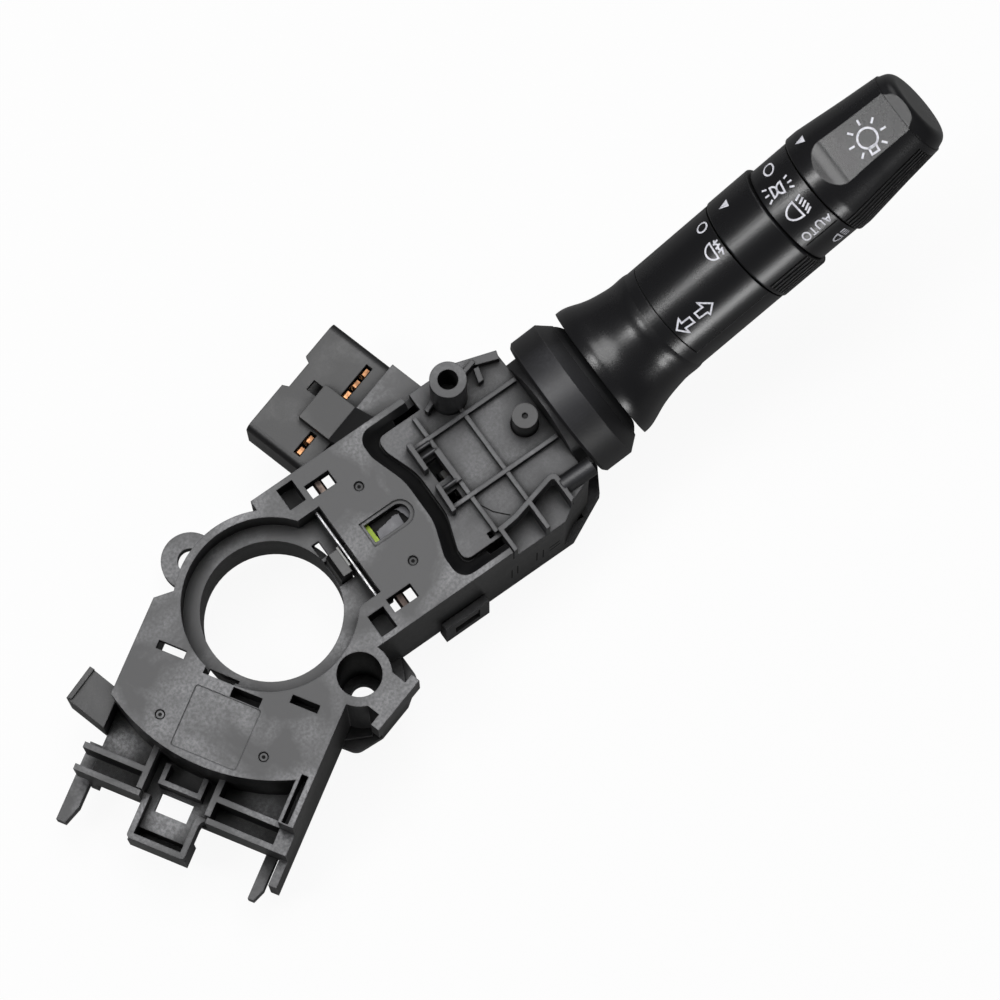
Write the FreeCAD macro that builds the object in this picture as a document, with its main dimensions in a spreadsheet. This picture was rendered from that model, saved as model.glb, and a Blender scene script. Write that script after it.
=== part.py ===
import FreeCAD, Part
import Sketcher
import math
import os
import re

# Combination stalk switch of a steering column, in millimetres.
# The origin is the column axis, midway between the two column screws, on the mounting plane.
# +Z follows the column axis towards the driver and +X points to the side of the stalk.

Vector = FreeCAD.Vector
doc = FreeCAD.newDocument("stalk_switch")
sheet = doc.addObject("Spreadsheet::Sheet", "Sizes")
size_names = []
sub_parts = []


def sizes(**values):
    """Write driving dimensions into the sheet, in millimetres, degrees or a plain count."""
    for name, value in values.items():
        size_names.append(name)
        cell = "B%d" % len(size_names)
        sheet.set("A%d" % len(size_names), name.replace("_", " "))
        sheet.set(cell, str(value))
        sheet.setAlias(cell, name)
    sheet.recompute()


def formula(words):
    """Point every size name in a formula at its cell of the sheet."""
    def cell(found):
        name = found.group()
        return "Sizes." + name if name in size_names else name
    return re.sub(r"[a-z][a-z_0-9]*", cell, str(words))


def amount(words):
    """The present value of a formula."""
    return float(sheet.evalExpression(formula(words)))


def shifted(x="0", y="0", z="0", axis="z", angle="0"):
    """A move to x, y, z with a turn about one axis, as a formula for a placement."""
    turn = {"x": "1; 0; 0", "y": "0; 1; 0", "z": "0; 0; 1"}[axis]
    text = "create(<<placement>>; create(<<vector>>; %s; %s; %s); create(<<vector>>; %s); %s)"
    return text % (x, y, z, turn, angle)


def body(label, frame):
    """A new sub-part of its own, standing in one of the frames below."""
    piece = doc.addObject("PartDesign::Body", label)
    piece.Label = label
    piece.AllowCompound = True
    piece.setExpression("Placement", formula(frame))
    sub_parts.append(piece)
    return piece


def corner_points(corners):
    """Where each side of a rounded outline starts and ends, and where its arcs turn."""
    points = [Vector(amount(corner[0]), amount(corner[1]), 0) for corner in corners]
    turns = []
    for number, corner in enumerate(corners):
        here = points[number]
        if len(corner) < 3:
            turns.append((here, here, None, 0.0, True))
            continue
        back = points[number - 1].sub(here).normalize()
        ahead = points[(number + 1) % len(points)].sub(here).normalize()
        radius = amount(corner[2])
        half = back.getAngle(ahead) / 2
        reach = radius / math.tan(half)
        middle = back.add(ahead).normalize()
        centre = here.add(middle.multiply(radius / math.sin(half)))
        left_turn = back.x * ahead.y - back.y * ahead.x < 0
        entry = here.add(Vector(back).multiply(reach))
        leave = here.add(Vector(ahead).multiply(reach))
        turns.append((entry, leave, centre, radius, left_turn))
    return points, turns


def draw_outline(sketch, corners):
    """A closed outline through (x, y) corners, or (x, y, radius) ones, tied to the sheet."""
    points, turns = corner_points(corners)
    count = len(corners)
    ties = []
    rules = []
    sides = []
    for number in range(count):
        start = turns[number][1]
        end = turns[(number + 1) % count][0]
        sides.append(sketch.addGeometry(Part.LineSegment(start, end)))
    for number, corner in enumerate(corners):
        entry, leave, centre, radius, left_turn = turns[number]
        before, after = sides[number - 1], sides[number]
        if centre is None:
            rules.append(Sketcher.Constraint("Coincident", before, 2, after, 1))
            spot = (after, 1)
        else:
            first, last = (entry, leave) if left_turn else (leave, entry)
            angles = [math.atan2(end.y - centre.y, end.x - centre.x) for end in (first, last)]
            circle = Part.Circle(centre, Vector(0, 0, 1), radius)
            arc = sketch.addGeometry(Part.ArcOfCircle(circle, angles[0], angles[1]))
            mark = sketch.addGeometry(Part.Point(points[number]), True)
            entry_end, leave_end = (1, 2) if left_turn else (2, 1)
            rules.append(Sketcher.Constraint("Tangent", before, 2, arc, entry_end))
            rules.append(Sketcher.Constraint("Tangent", after, 1, arc, leave_end))
            rules.append(Sketcher.Constraint("PointOnObject", mark, 1, before))
            rules.append(Sketcher.Constraint("PointOnObject", mark, 1, after))
            ties.append((len(rules), corner[2]))
            rules.append(Sketcher.Constraint("Radius", arc, radius))
            spot = (mark, 1)
        ties.append((len(rules), corner[0]))
        rules.append(Sketcher.Constraint("DistanceX", -1, 1, spot[0], spot[1], points[number].x))
        ties.append((len(rules), corner[1]))
        rules.append(Sketcher.Constraint("DistanceY", -1, 1, spot[0], spot[1], points[number].y))
    tie(sketch, rules, ties)


def draw_circle(sketch, x, y, radius):
    """A full circle tied to the sheet."""
    centre = Vector(amount(x), amount(y), 0)
    ring = sketch.addGeometry(Part.Circle(centre, Vector(0, 0, 1), amount(radius)))
    rules = [
        Sketcher.Constraint("DistanceX", -1, 1, ring, 3, centre.x),
        Sketcher.Constraint("DistanceY", -1, 1, ring, 3, centre.y),
        Sketcher.Constraint("Radius", ring, amount(radius)),
    ]
    tie(sketch, rules, [(0, x), (1, y), (2, radius)])


def tie(sketch, rules, ties):
    """Add constraints to a sketch and bind the measured ones to their formulas."""
    first = sketch.ConstraintCount
    sketch.addConstraint(rules)
    for number, words in ties:
        sketch.setExpression("Constraints[%d]" % (first + number), formula(words))


def box(x_low, x_high, y_low, y_high):
    """The corners of an upright rectangle."""
    return [(x_low, y_low), (x_high, y_low), (x_high, y_high), (x_low, y_high)]


def disc(x, y, radius):
    """A circle, told apart from an outline by its first word."""
    return ("circle", x, y, radius)


def sketch_on(piece, plane, level, turn, shapes, tilt="0"):
    """A sketch at a level above one of the sub-part's own planes, turned about its upright axis."""
    sketch = piece.newObject("Sketcher::SketchObject", piece.Name + "_sketch")
    for feature in piece.Origin.OriginFeatures:
        if feature.Role == plane + "_Plane":
            sketch.AttachmentSupport = [(feature, "")]
    sketch.MapMode = "FlatFace"
    if plane == "XZ":
        offset = shifted(z="-(%s)" % level, axis="y", angle=turn)
    elif tilt != "0":
        offset = shifted(z=level, axis="x", angle=tilt)
    else:
        offset = shifted(z=level, angle=turn)
    sketch.setExpression("AttachmentOffset", formula(offset))
    for shape in shapes:
        if shape[0] == "circle":
            draw_circle(sketch, shape[1], shape[2], shape[3])
        else:
            draw_outline(sketch, shape)
    return sketch


def pad(piece, low, high, shapes, plane="XY", turn="0"):
    """Material between two levels of a plane."""
    level = high if plane == "XZ" else low
    feature = piece.newObject("PartDesign::Pad", piece.Name + "_pad")
    feature.Profile = sketch_on(piece, plane, level, turn, shapes)
    feature.setExpression("Length", formula("(%s) - (%s)" % (high, low)))
    piece.Tip = feature
    return feature


def pocket(piece, low, high, shapes, plane="XY", turn="0"):
    """A hollow between two levels of a plane."""
    level = low if plane == "XZ" else high
    feature = piece.newObject("PartDesign::Pocket", piece.Name + "_pocket")
    feature.Profile = sketch_on(piece, plane, level, turn, shapes)
    feature.setExpression("Length", formula("(%s) - (%s)" % (high, low)))
    piece.Tip = feature
    return feature


def lofted(piece, sections, plane="YZ", cut=False, turn="0"):
    """A smooth form through outlines, each with its level and its tilt."""
    kind = "PartDesign::SubtractiveLoft" if cut else "PartDesign::AdditiveLoft"
    rings = []
    for level, shape, tilt in sections:
        rings.append(sketch_on(piece, plane, level, turn, [shape], tilt=tilt))
    feature = piece.newObject(kind, piece.Name + "_loft")
    feature.Profile = rings[0]
    feature.Sections = rings[1:]
    piece.Tip = feature
    return feature


def turned(piece, profile, axis="H_Axis", cut=False, angle=""):
    """A turned form: the profile lies in the XZ plane and goes round one of its axes."""
    kind = "PartDesign::Groove" if cut else "PartDesign::Revolution"
    feature = piece.newObject(kind, piece.Name + "_turn")
    sketch = sketch_on(piece, "XZ", "0", "0", [profile])
    feature.Profile = sketch
    feature.ReferenceAxis = (sketch, [axis])
    feature.Angle = 360
    if angle:
        feature.Midplane = True
        feature.setExpression("Angle", formula(angle))
    piece.Tip = feature
    return feature


def coil(piece, radius, wire, start, pitch, length):
    """A coil spring of round wire about the sub-part's own X axis."""
    feature = piece.newObject("PartDesign::AdditiveHelix", piece.Name + "_coil")
    sketch = sketch_on(piece, "XZ", "0", "0", [disc(start, radius, wire)])
    feature.Profile = sketch
    feature.ReferenceAxis = (sketch, ["H_Axis"])
    feature.Mode = 0
    feature.setExpression("Pitch", formula(pitch))
    feature.setExpression("Height", formula(length))
    piece.Tip = feature
    return feature


def repeated(piece, feature, count, angle):
    """Copies of a feature round the sub-part's own X axis, over an angle in degrees."""
    pattern = piece.newObject("PartDesign::PolarPattern", piece.Name + "_pattern")
    pattern.Originals = [feature]
    for origin in piece.Origin.OriginFeatures:
        if origin.Role == "X_Axis":
            pattern.Axis = (origin, [""])
    pattern.setExpression("Occurrences", formula(count))
    pattern.setExpression("Angle", formula(angle))
    piece.Tip = pattern
    return pattern


# Frames. The lever housing and the wiper side each lean away from the column screws' line.

sizes(housing_turn=16, wiper_turn=16)
sizes(pivot_x=71.6, pivot_y=1.2, pivot_z=16, stalk_rise=27, collar_rise=13, collar_reach=15)

ROW = shifted()
HOUSING = shifted(angle="-housing_turn")
WIPER = shifted(angle="wiper_turn")
PIVOT = HOUSING + " * " + shifted("pivot_x", "pivot_y", "pivot_z")
STALK = PIVOT + " * " + shifted(axis="y", angle="-stalk_rise")
COLLAR = PIVOT + " * " + shifted(
    "collar_reach * cos(stalk_rise)", "0", "collar_reach * sin(stalk_rise)",
    axis="y", angle="-collar_rise")

# Column body: one deep moulding with the column ring, the wiper plate and the lever housing.

sizes(plate_top=30, plate_thick=2.2, wall=2, fit=0.3)
sizes(bore_radius=16.4, tube_wall=2, tube_low=9, recess_radius=20.2, recess_depth=7.6, ring_radius=22)
sizes(screw_spacing=52, screw_radius=3, screw_floor=3, ear_radius=6.9, head_radius=5.2)
sizes(housing_start=10, housing_half=22.2, housing_end=76.2, end_half=13.5, end_low=17.6, foot_gap=0.5)
sizes(shoulder_x=65, shoulder_end_x=76, shoulder_end_y=18.6, chamfer_x=66.3, chamfer_end_x=70.3)
sizes(chamfer_end_y=19.8)
sizes(wiper_end=50.3, wiper_half=24.9, wiper_start=8.7, bay_floor=11, bay_centre=5.3, bay_radius=45.3)
sizes(bay_wall_y=21.2, bay_strip=45)

column_body = body("column_body", ROW)


def housing_outline(inset):
    """The lever housing seen along the column, its walls moved in by an inset."""
    return [
        ("housing_start", "-housing_half + " + inset),
        ("chamfer_x", "-housing_half + " + inset),
        ("chamfer_end_x - %s / 2" % inset, "-chamfer_end_y + " + inset),
        ("housing_end - " + inset, "-end_low + " + inset),
        ("housing_end - " + inset, "end_half - %s / 2" % inset),
        ("shoulder_end_x - %s / 2" % inset, "shoulder_end_y - " + inset),
        ("shoulder_x", "housing_half - " + inset),
        ("housing_start", "housing_half - " + inset),
    ]


def wiper_outline(inset):
    """The wiper side seen along the column, its walls moved in by an inset."""
    return [
        ("-wiper_end + " + inset, "-wiper_half + " + inset),
        ("-wiper_start / 2", "-wiper_half + " + inset),
        ("-wiper_start / 2", "ring_radius - 2 - " + inset),
        ("-wiper_start", "wiper_half - " + inset),
        ("-wiper_end + " + inset, "wiper_half - " + inset),
    ]


pad(column_body, "foot_gap", "plate_top", [disc("0", "0", "ring_radius")])
pad(column_body, "foot_gap", "plate_top", [housing_outline("0")], turn="-housing_turn")
pad(column_body, "foot_gap", "plate_top", [wiper_outline("0")], turn="wiper_turn")

# The boss of the deep column screw with its lug, and the thin ear of the other one
pad(column_body, "0", "plate_top", [disc("0", "-screw_spacing / 2", "head_radius + 2.2")])
pad(column_body, "0", "plate_top", [box("-4.4", "5", "-35.3", "-screw_spacing / 2")])
pad(column_body, "0", "screw_floor", [disc("0", "screw_spacing / 2", "ear_radius")])

# Everything is open from below, down to the top plate
inside = "plate_top - plate_thick"
pocket(column_body, "-1", inside, [disc("0", "0", "ring_radius - wall")])
pocket(column_body, "-1", inside, [housing_outline("wall")], turn="-housing_turn")
pocket(column_body, "-1", inside, [wiper_outline("wall")], turn="wiper_turn")
pad(column_body, "0", inside, [disc("0", "-screw_spacing / 2", "head_radius + 1.4")])

# Wiper bay: a lower floor beyond a round edge of the plate


def bay_region(kind, low, high, y_low, y_high, radius):
    """Material or a hollow beyond the round edge of the wiper plate."""
    feature = column_body.newObject(kind, "bay")
    level = low if kind == "PartDesign::Pad" else high
    sketch = sketch_on(column_body, "XY", level, "wiper_turn", [])
    centre = amount("bay_centre")
    reach = amount(radius)
    far = amount("-wiper_end")
    edges = [amount(y_low), amount(y_high)]
    ends = [Vector(centre - math.sqrt(reach ** 2 - y ** 2), y, 0) for y in edges]
    corners = [Vector(far, y, 0) for y in edges]
    angles = [math.atan2(end.y, end.x - centre) for end in ends]
    circle = Part.Circle(Vector(centre, 0, 0), Vector(0, 0, 1), reach)
    arc = sketch.addGeometry(Part.ArcOfCircle(circle, angles[1], angles[0]))
    lower = sketch.addGeometry(Part.LineSegment(ends[0], corners[0]))
    outer = sketch.addGeometry(Part.LineSegment(corners[0], corners[1]))
    upper = sketch.addGeometry(Part.LineSegment(corners[1], ends[1]))
    rules = [
        Sketcher.Constraint("Coincident", arc, 2, lower, 1),
        Sketcher.Constraint("Coincident", lower, 2, outer, 1),
        Sketcher.Constraint("Coincident", outer, 2, upper, 1),
        Sketcher.Constraint("Coincident", upper, 2, arc, 1),
        Sketcher.Constraint("Horizontal", lower),
        Sketcher.Constraint("Horizontal", upper),
        Sketcher.Constraint("Vertical", outer),
        Sketcher.Constraint("PointOnObject", arc, 3, -1),
        Sketcher.Constraint("DistanceX", -1, 1, arc, 3, centre),
        Sketcher.Constraint("Radius", arc, reach),
        Sketcher.Constraint("DistanceX", -1, 1, outer, 1, far),
        Sketcher.Constraint("DistanceY", -1, 1, outer, 1, edges[0]),
        Sketcher.Constraint("DistanceY", -1, 1, outer, 2, edges[1]),
    ]
    tie(sketch, rules, [(8, "bay_centre"), (9, radius), (10, "-wiper_end"), (11, y_low), (12, y_high)])
    feature.Profile = sketch
    feature.setExpression("Length", formula("(%s) - (%s)" % (high, low)))
    column_body.Tip = feature


bay_region("PartDesign::Pad", "bay_floor - wall", inside,
           "-wiper_half", "wiper_half", "bay_radius - wall")
bay_region("PartDesign::Pocket", "bay_floor", "plate_top + 1",
           "-bay_wall_y", "wiper_half + 1", "bay_radius")

sizes(rib_top=20.5, rib_thick=1.4, bay_rib_near=-43.5, bay_rib_far=-48.9, tab_reach=59.3)
sizes(tab_low=-3.3, tab_high=11, tab_top=15, tab_deep=8, tab_post=-48.6)
sizes(rail_out=3.6, rail_low=3, rail_high=7, rail_reach=60.8)


def on_wiper(low, high, *shapes, cut=False):
    """A feature of the wiper side of the column body."""
    work = pocket if cut else pad
    work(column_body, low, high, shapes, turn="wiper_turn")


# The bay end: a foot under its far edge, and the side wall drawn out at the foot
on_wiper("-1", "bay_floor - wall", box("-wiper_end - 1", "-wiper_end + 2.5", "-wiper_half + wall", "wiper_half - wall"),
         cut=True)
on_wiper("foot_gap", "bay_floor + 1", box("-wiper_end - 6.5", "-wiper_end + 1", "-wiper_half", "-wiper_half + wall"))

# The guide strip beside the bay is slotted, and lower past its end
on_wiper("rib_top", "plate_top + 1",
         box("-wiper_end - 1", "-bay_strip", "-wiper_half - 1", "-bay_wall_y + 0.5"), cut=True)

# The middle tab reaches out of the bay: a rim, a deep slot at its end and a window
on_wiper("bay_floor - wall", "tab_top", [
    ("-tab_reach", "tab_low", "1"), ("-wiper_end + 0.6", "tab_low", "2"), ("-wiper_end + 1.5", "tab_low - 2"),
    ("-wiper_end + 2", "tab_high + 2"), ("-wiper_end + 0.6", "tab_high", "2"), ("-tab_reach", "tab_high", "1")])
on_wiper("bay_floor - tab_deep", "bay_floor", box("-tab_reach", "-tab_reach + 5", "tab_low", "tab_high"))
on_wiper("bay_floor", "tab_top + 1", box(
    "-tab_reach + rib_thick", "-wiper_end + 3", "tab_low + rib_thick", "tab_high - rib_thick"), cut=True)
on_wiper("bay_floor - tab_deep + 1.2", "bay_floor + 1", box(
    "-tab_reach + rib_thick", "-tab_reach + 3.7", "tab_low + rib_thick", "tab_high - rib_thick"), cut=True)
on_wiper("bay_floor - wall - 1", "bay_floor + 1", box("-51", "-46.4", "0", "7.9"), cut=True)

# Two tall ribs cross the bay on each side of the tab, with a cross rib each, and a small open box
rib_sides = []
for x_far, y_low, y_high in (
        ("bay_rib_far", "11.2", "wiper_half + 2.5"), ("bay_rib_far", "-wiper_half + 1", "-5.1")):
    rib_sides.append([
        (x_far + " - rib_thick", y_low), (x_far, y_low), (x_far, y_high), (x_far + " - rib_thick", y_high)])
on_wiper("bay_floor", "rib_top", rib_sides[0], rib_sides[1])
on_wiper("bay_floor", "rib_top", [
    ("tab_post", "11.2"), ("-38", "11.2"), ("-38", "12.6"), ("bay_rib_near", "12.6"),
    ("bay_rib_near", "wiper_half + 2.5"), ("bay_rib_near - rib_thick", "wiper_half + 2.5"),
    ("bay_rib_near - rib_thick", "12.6"), ("tab_post", "12.6")], [
    ("tab_post", "-4.2"), ("-38", "-4.2"), ("-38", "-5.6"), ("bay_rib_near", "-5.6"),
    ("bay_rib_near", "-wiper_half + 1"), ("bay_rib_near - rib_thick", "-wiper_half + 1"),
    ("bay_rib_near - rib_thick", "-5.6"), ("tab_post", "-5.6")])
on_wiper("bay_floor", "bay_floor + 6", [
    ("-45.5", "-1.6"), ("-40.5", "-1.6"), ("-40.5", "-0.4"), ("-44.3", "-0.4"), ("-44.3", "7.7"),
    ("-40.5", "7.7"), ("-40.5", "8.9"), ("-45.5", "8.9")])

# Two guide rails at the foot take the wiper switch
on_wiper("rail_low", "rail_high", [
    ("-rail_reach", "wiper_half + 1.4"), ("-rail_reach + 4.5", "wiper_half - 0.1"),
    ("-wiper_end + 1", "wiper_half - 0.1"), ("-wiper_end + 9", "wiper_half - 0.5"),
    ("-wiper_end + 9", "wiper_half + rail_out"), ("-rail_reach", "wiper_half + rail_out")], [
    ("-rail_reach", "-bay_wall_y + 0.6"), ("-rail_reach + 3", "-bay_wall_y - 0.6"),
    ("-wiper_end + 3", "-bay_wall_y - 0.6"), ("-wiper_end + 4", "-bay_wall_y - 2"),
    ("-wiper_end + 9", "-bay_wall_y - 2"), ("-wiper_end + 9", "-bay_wall_y + 2"),
    ("-rail_reach", "-bay_wall_y + 2")])
on_wiper("rail_low", "bay_floor", box("-wiper_end + 5", "-wiper_end + 9", "-wiper_half", "wiper_half"))

# Column ring: a tube through the body, and a stepped recess for the clock spring
recess_floor = "plate_top - recess_depth"
pad(column_body, "tube_low", recess_floor, [disc("0", "0", "bore_radius + tube_wall")])
pad(column_body, recess_floor + " - wall", inside, [disc("0", "0", "ring_radius - 0.5")])
pad(column_body, recess_floor + " - wall", inside, [box("14", "24", "-14", "14.5")], turn="-housing_turn")
pocket(column_body, "-1", "plate_top + 1", [disc("0", "0", "bore_radius")])
pocket(column_body, recess_floor, "plate_top + 1", [disc("0", "0", "recess_radius")])

# Openings and marks of the wiper plate; two of the slots have a floor
sizes(mark_radius=1.2, mark_depth=0.3, slot_wide=2, slot_wall=1.2)
on_wiper(recess_floor + " - slot_wall", inside,
         box("-19.1 - slot_wall", "-17.1 + slot_wall", "-19.7 - slot_wall", "-13 + slot_wall"),
         box("-23 - slot_wall", "-20.6 + slot_wall", "-7.1 - slot_wall", "slot_wall"))
on_wiper(recess_floor + " - 3", "plate_top + 1",
         box("-19.1", "-19.1 + slot_wide", "13", "19.8"),
         box("-20.3", "-17.7", "0.3", "7.7"), cut=True)
on_wiper(recess_floor, "plate_top + 1",
         box("-19.1", "-19.1 + slot_wide", "-19.7", "-13"),
         box("-23", "-20.6", "-7.1", "0"),
         box("-44.7", "-33", "-bay_wall_y - 2.4", "-bay_wall_y - 0.8"), cut=True)
on_wiper("plate_top - mark_depth", "plate_top + 1",
         [("-38.1", "-7.9", "0.6"), ("-23.2", "-7.9", "0.6"), ("-23.2", "8", "0.6"), ("-38.1", "8", "0.6")],
         disc("-32.7", "12.8", "mark_radius"), disc("-32.7", "-12.5", "mark_radius"), cut=True)

# The deep column screw: a head bore from the top plate down to its floor
pocket(column_body, "screw_floor", "plate_top + 1", [disc("0", "-screw_spacing / 2", "head_radius")])
pocket(column_body, "-1", "screw_floor + 1", [
    disc("0", "screw_spacing / 2", "screw_radius"), disc("0", "-screw_spacing / 2", "screw_radius")])

# The lug under it ends in a cross flange, with two thin webs at the foot
sizes(lug_end=37.4, lug_half=7.3, lug_thick=2.2, web_thick=2)
pad(column_body, "plate_top - 9", "plate_top",
    [box("-lug_half", "lug_half", "-lug_end", "-lug_end + lug_thick")])
pad(column_body, "0", "web_thick", [[
    ("-13", "-26.5"), ("-11", "-33", "3"), ("-4.4", "-35.3"), ("5", "-35.3"), ("11.5", "-33", "3"),
    ("13.5", "-26"), ("3", "-34"), ("-2.5", "-34")]])

# Lever housing: seat of the switch cover, and the wavy groove that parts it from the plate
sizes(cover_seat=25.5, ledge_start=36.8, ledge_end=47.5, groove_top=20.8, groove_corner=3.5)
sizes(groove_floor=25.8, lid_play=0.3, cover_left=42, cover_belly=44.9)
sizes(groove_neck=38.3, groove_belly=41.2, belly_half=5.8, neck_half=14)


def on_housing(low, high, *shapes, cut=False):
    """A feature of the lever housing of the column body."""
    work = pocket if cut else pad
    work(column_body, low, high, shapes, turn="-housing_turn")


on_housing("cover_seat - wall", inside,
           box("ledge_start", "ledge_end", "-housing_half + 1", "housing_half - 1"))
lid_edge = [
    ("52", "-17.2 - lid_play"), ("cover_left - lid_play", "-17.2 - lid_play", "1.8"),
    ("cover_left - lid_play", "-neck_half - lid_play", "4"), ("cover_belly - lid_play", "-belly_half", "12"),
    ("cover_belly - lid_play", "belly_half", "12"), ("cover_left - lid_play", "neck_half + lid_play", "4"),
    ("cover_left - lid_play", "17.8 + lid_play", "1.8"), ("52", "17.8 + lid_play")]
plate_edge = [
    ("52", "-groove_top"), ("groove_neck", "-groove_top", "groove_corner"),
    ("groove_neck", "-neck_half", "5"), ("groove_belly", "-belly_half", "14"),
    ("groove_belly", "belly_half", "14"), ("groove_neck", "neck_half + 0.6", "5"),
    ("groove_neck", "groove_top", "groove_corner"), ("52", "groove_top")]
on_housing("cover_seat", "plate_top + 1", lid_edge + [
    ("52", "housing_half + 1"), ("housing_end + 1", "housing_half + 1"),
    ("housing_end + 1", "-housing_half - 1"), ("52", "-housing_half - 1")], cut=True)
lofted(column_body, [("groove_floor", lid_edge, "0"), ("plate_top", plate_edge, "0")], plane="XY", cut=True,
       turn="-housing_turn")

# Four screw bosses for the lower cover, and the catch its snap loop hooks over
sizes(screw_near=40, screw_far=60, screw_side=17.5, boss_wall=3, thread_bore=1.5, catch_low=3, catch_top=6.3)
sizes(loop_near=31.2, loop_far=43.4, loop_leg=2.6, loop_thick=1.9, loop_top=9)
screw_places = [(x, y) for x in ("screw_near", "screw_far") for y in ("-screw_side", "screw_side")]
on_housing("foot_gap", "12", *[disc(x, y, "boss_wall") for x, y in screw_places])
on_housing("-1", "11", *[disc(x, y, "thread_bore") for x, y in screw_places], cut=True)
loop_face = "-housing_half - fit"
on_housing("catch_low", "catch_top", [
    ("loop_near + loop_leg + fit", loop_face + " - loop_thick + 0.3"),
    ("loop_far - loop_leg - fit", loop_face + " - loop_thick + 0.3"),
    ("loop_far - loop_leg - fit", "-housing_half + 0.5"), ("loop_near + loop_leg + fit", "-housing_half + 0.5")])

# The side wall is lower where the two scoops of the switch cover lie on it
sizes(scoop_near=52, scoop_far=70.3, scoop_floor=24.4, scoop_skin=1.2)
on_housing("scoop_floor - scoop_skin", "plate_top + 1", box(
    "scoop_near - fit", "scoop_far + fit", "-housing_half - 1", "-housing_half + 3 * wall"), cut=True)

# The end wall is open for the lever
sizes(lever_window=10, lever_window_low=5)
on_housing("lever_window_low", "plate_top", box(
    "housing_end - wall - 3", "housing_end + 1", "pivot_y - lever_window", "pivot_y + lever_window"),
    cut=True)

# Beside the ring: a flat floor with the rod groove, the pawl slot and the hollow for its block
sizes(rod_x=21.1, rod_radius=0.6, rod_half=12.2, rod_level=26, pawl_tip=16.7, pawl_travel=1.5)
sizes(pawl_low=-4, pawl_high=2.2, block_near=19.8, block_far=24.3, block_half=2.6, rod_groove_end=22)
on_housing(recess_floor, "plate_top + 1", box("10", "rod_groove_end", "-rod_half", "rod_half"), cut=True)
on_housing(recess_floor, inside, box(
    "rod_groove_end - 1", "block_far + fit", "-block_half - fit", "block_half + fit"), cut=True)
on_housing(recess_floor + " - wall - 1", recess_floor + " + 1",
           box("pawl_tip - pawl_travel - fit", "block_near + fit", "pawl_low - fit", "pawl_high + fit"),
           box("16", "18", "3.3", "7.3"), cut=True)

# The upper side wall stands open at its foot, where the wires of the connector leave
sizes(wire_near=21, wire_far=34, wire_top=22)
on_housing("-1", "wire_top", box("wire_near", "wire_far", "housing_half - wall - 1", "housing_half + 1"),
           cut=True)

# Openings of the housing plate: two blind slots, two see-through windows with a tube wall, and
# one D-shaped window over the contact slider
sizes(window_near=21.9, window_far=28.5, window_low=14.4, window_high=18.0, window_depth=4.5)
sizes(slot_floor=23.4)
on_housing("plate_top - window_depth", inside,
           box("window_near - 1", "window_far + 1", "window_low - 1", "window_high + 1"),
           box("window_near - 1", "window_far + 1", "-window_high - 1", "-window_low + 1"))
on_housing("slot_floor - slot_wall", inside,
           box("16.2 - slot_wall", "20.5 + slot_wall", "14.7", "21"),
           box("16.2 - slot_wall", "20.5 + slot_wall", "-21", "-14.7"))
on_housing("slot_floor", "plate_top + 1",
           box("16.2", "20.5", "15.2", "20.9"),
           box("16.2", "20.5", "-20.9", "-15.2"), cut=True)
on_housing("cover_seat - wall - 1", "plate_top + 1",
           box("window_near", "window_far", "window_low", "window_high"),
           box("window_near", "window_far", "-window_high", "-window_low"),
           [("27.7", "-2.1"), ("38.3", "-2.1", "2.35"), ("38.3", "2.7", "2.35"), ("27.7", "2.7")], cut=True)
on_housing("plate_top - 2 * mark_depth", "plate_top + 1",
           [("26.9", "-3"), ("39.3", "-3", "3.2"), ("39.3", "3.5", "3.2"), ("26.9", "3.5")],
           disc("32.1", "10.8", "mark_radius"), disc("32.1", "-10.5", "mark_radius"), cut=True)

# Bracket beside the housing that carries the connector
sizes(connector_near=29.9, connector_far=62.2, connector_y=14.8, connector_length=17.5)
sizes(connector_low=8.5, connector_top=21, bracket_x=49, bracket_top=24)
bracket_foot = "(housing_half - 0.5 - %s * sin(housing_turn)) / cos(housing_turn)"
pad(column_body, "connector_low + 2", "bracket_top", [[
    ("bracket_x", bracket_foot % "bracket_x"), ("connector_far", bracket_foot % "connector_far"),
    ("connector_far", "connector_y"), ("bracket_x", "connector_y")]])
pocket(column_body, "connector_low + 1", "bracket_top - wall", [[
    ("bracket_x + wall", bracket_foot % "(bracket_x + wall)" + " + wall"),
    ("connector_far - wall", bracket_foot % "(connector_far - wall)" + " + wall"),
    ("connector_far - wall", "connector_y - wall"), ("bracket_x + wall", "connector_y - wall")]])
# Wiring connector: an open box with a key notch, a lock hole and terminal slots in its top
sizes(connector_wall=1.6, connector_depth=14, notch_near=43.8, notch_far=51.1, notch_deep=1.5)
sizes(terminal_first=33.8, terminal_pitch=3.4, terminal_width=1.8, terminal_thick=0.8, terminal_level=14)

connector_block = body("connector_block", ROW)
connector_end = "connector_y + connector_length"
slot_start = connector_end + " - connector_depth"
pad(connector_block, "connector_y", connector_end, [[
    ("connector_near", "connector_low", "1"), ("connector_far", "connector_low", "1"),
    ("connector_far", "connector_top", "2"), ("connector_near", "connector_top", "2")]], plane="XZ")
pocket(connector_block, "connector_low + connector_wall", "connector_top - connector_wall", [
    box("connector_near + connector_wall", "connector_far - connector_wall",
        slot_start, connector_end + " + 1")])
pocket(connector_block, "connector_top - connector_wall - 0.5", "connector_top + 1", [
    [("notch_near", connector_end + " - notch_deep"), ("notch_far", connector_end + " - notch_deep"),
     ("notch_far + 1.2", connector_end + " + 1"), ("notch_near - 1.2", connector_end + " + 1")],
    box("45.8", "48.6", "24.2", "27.2"),
    box("terminal_first - 1.5", "terminal_first + terminal_pitch + 1.5", slot_start, slot_start + " + 1.8"),
    box("terminal_first + 5 * terminal_pitch - 1.5", "terminal_first + 7 * terminal_pitch + 1.5",
        slot_start, slot_start + " + 1.8")])

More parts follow.
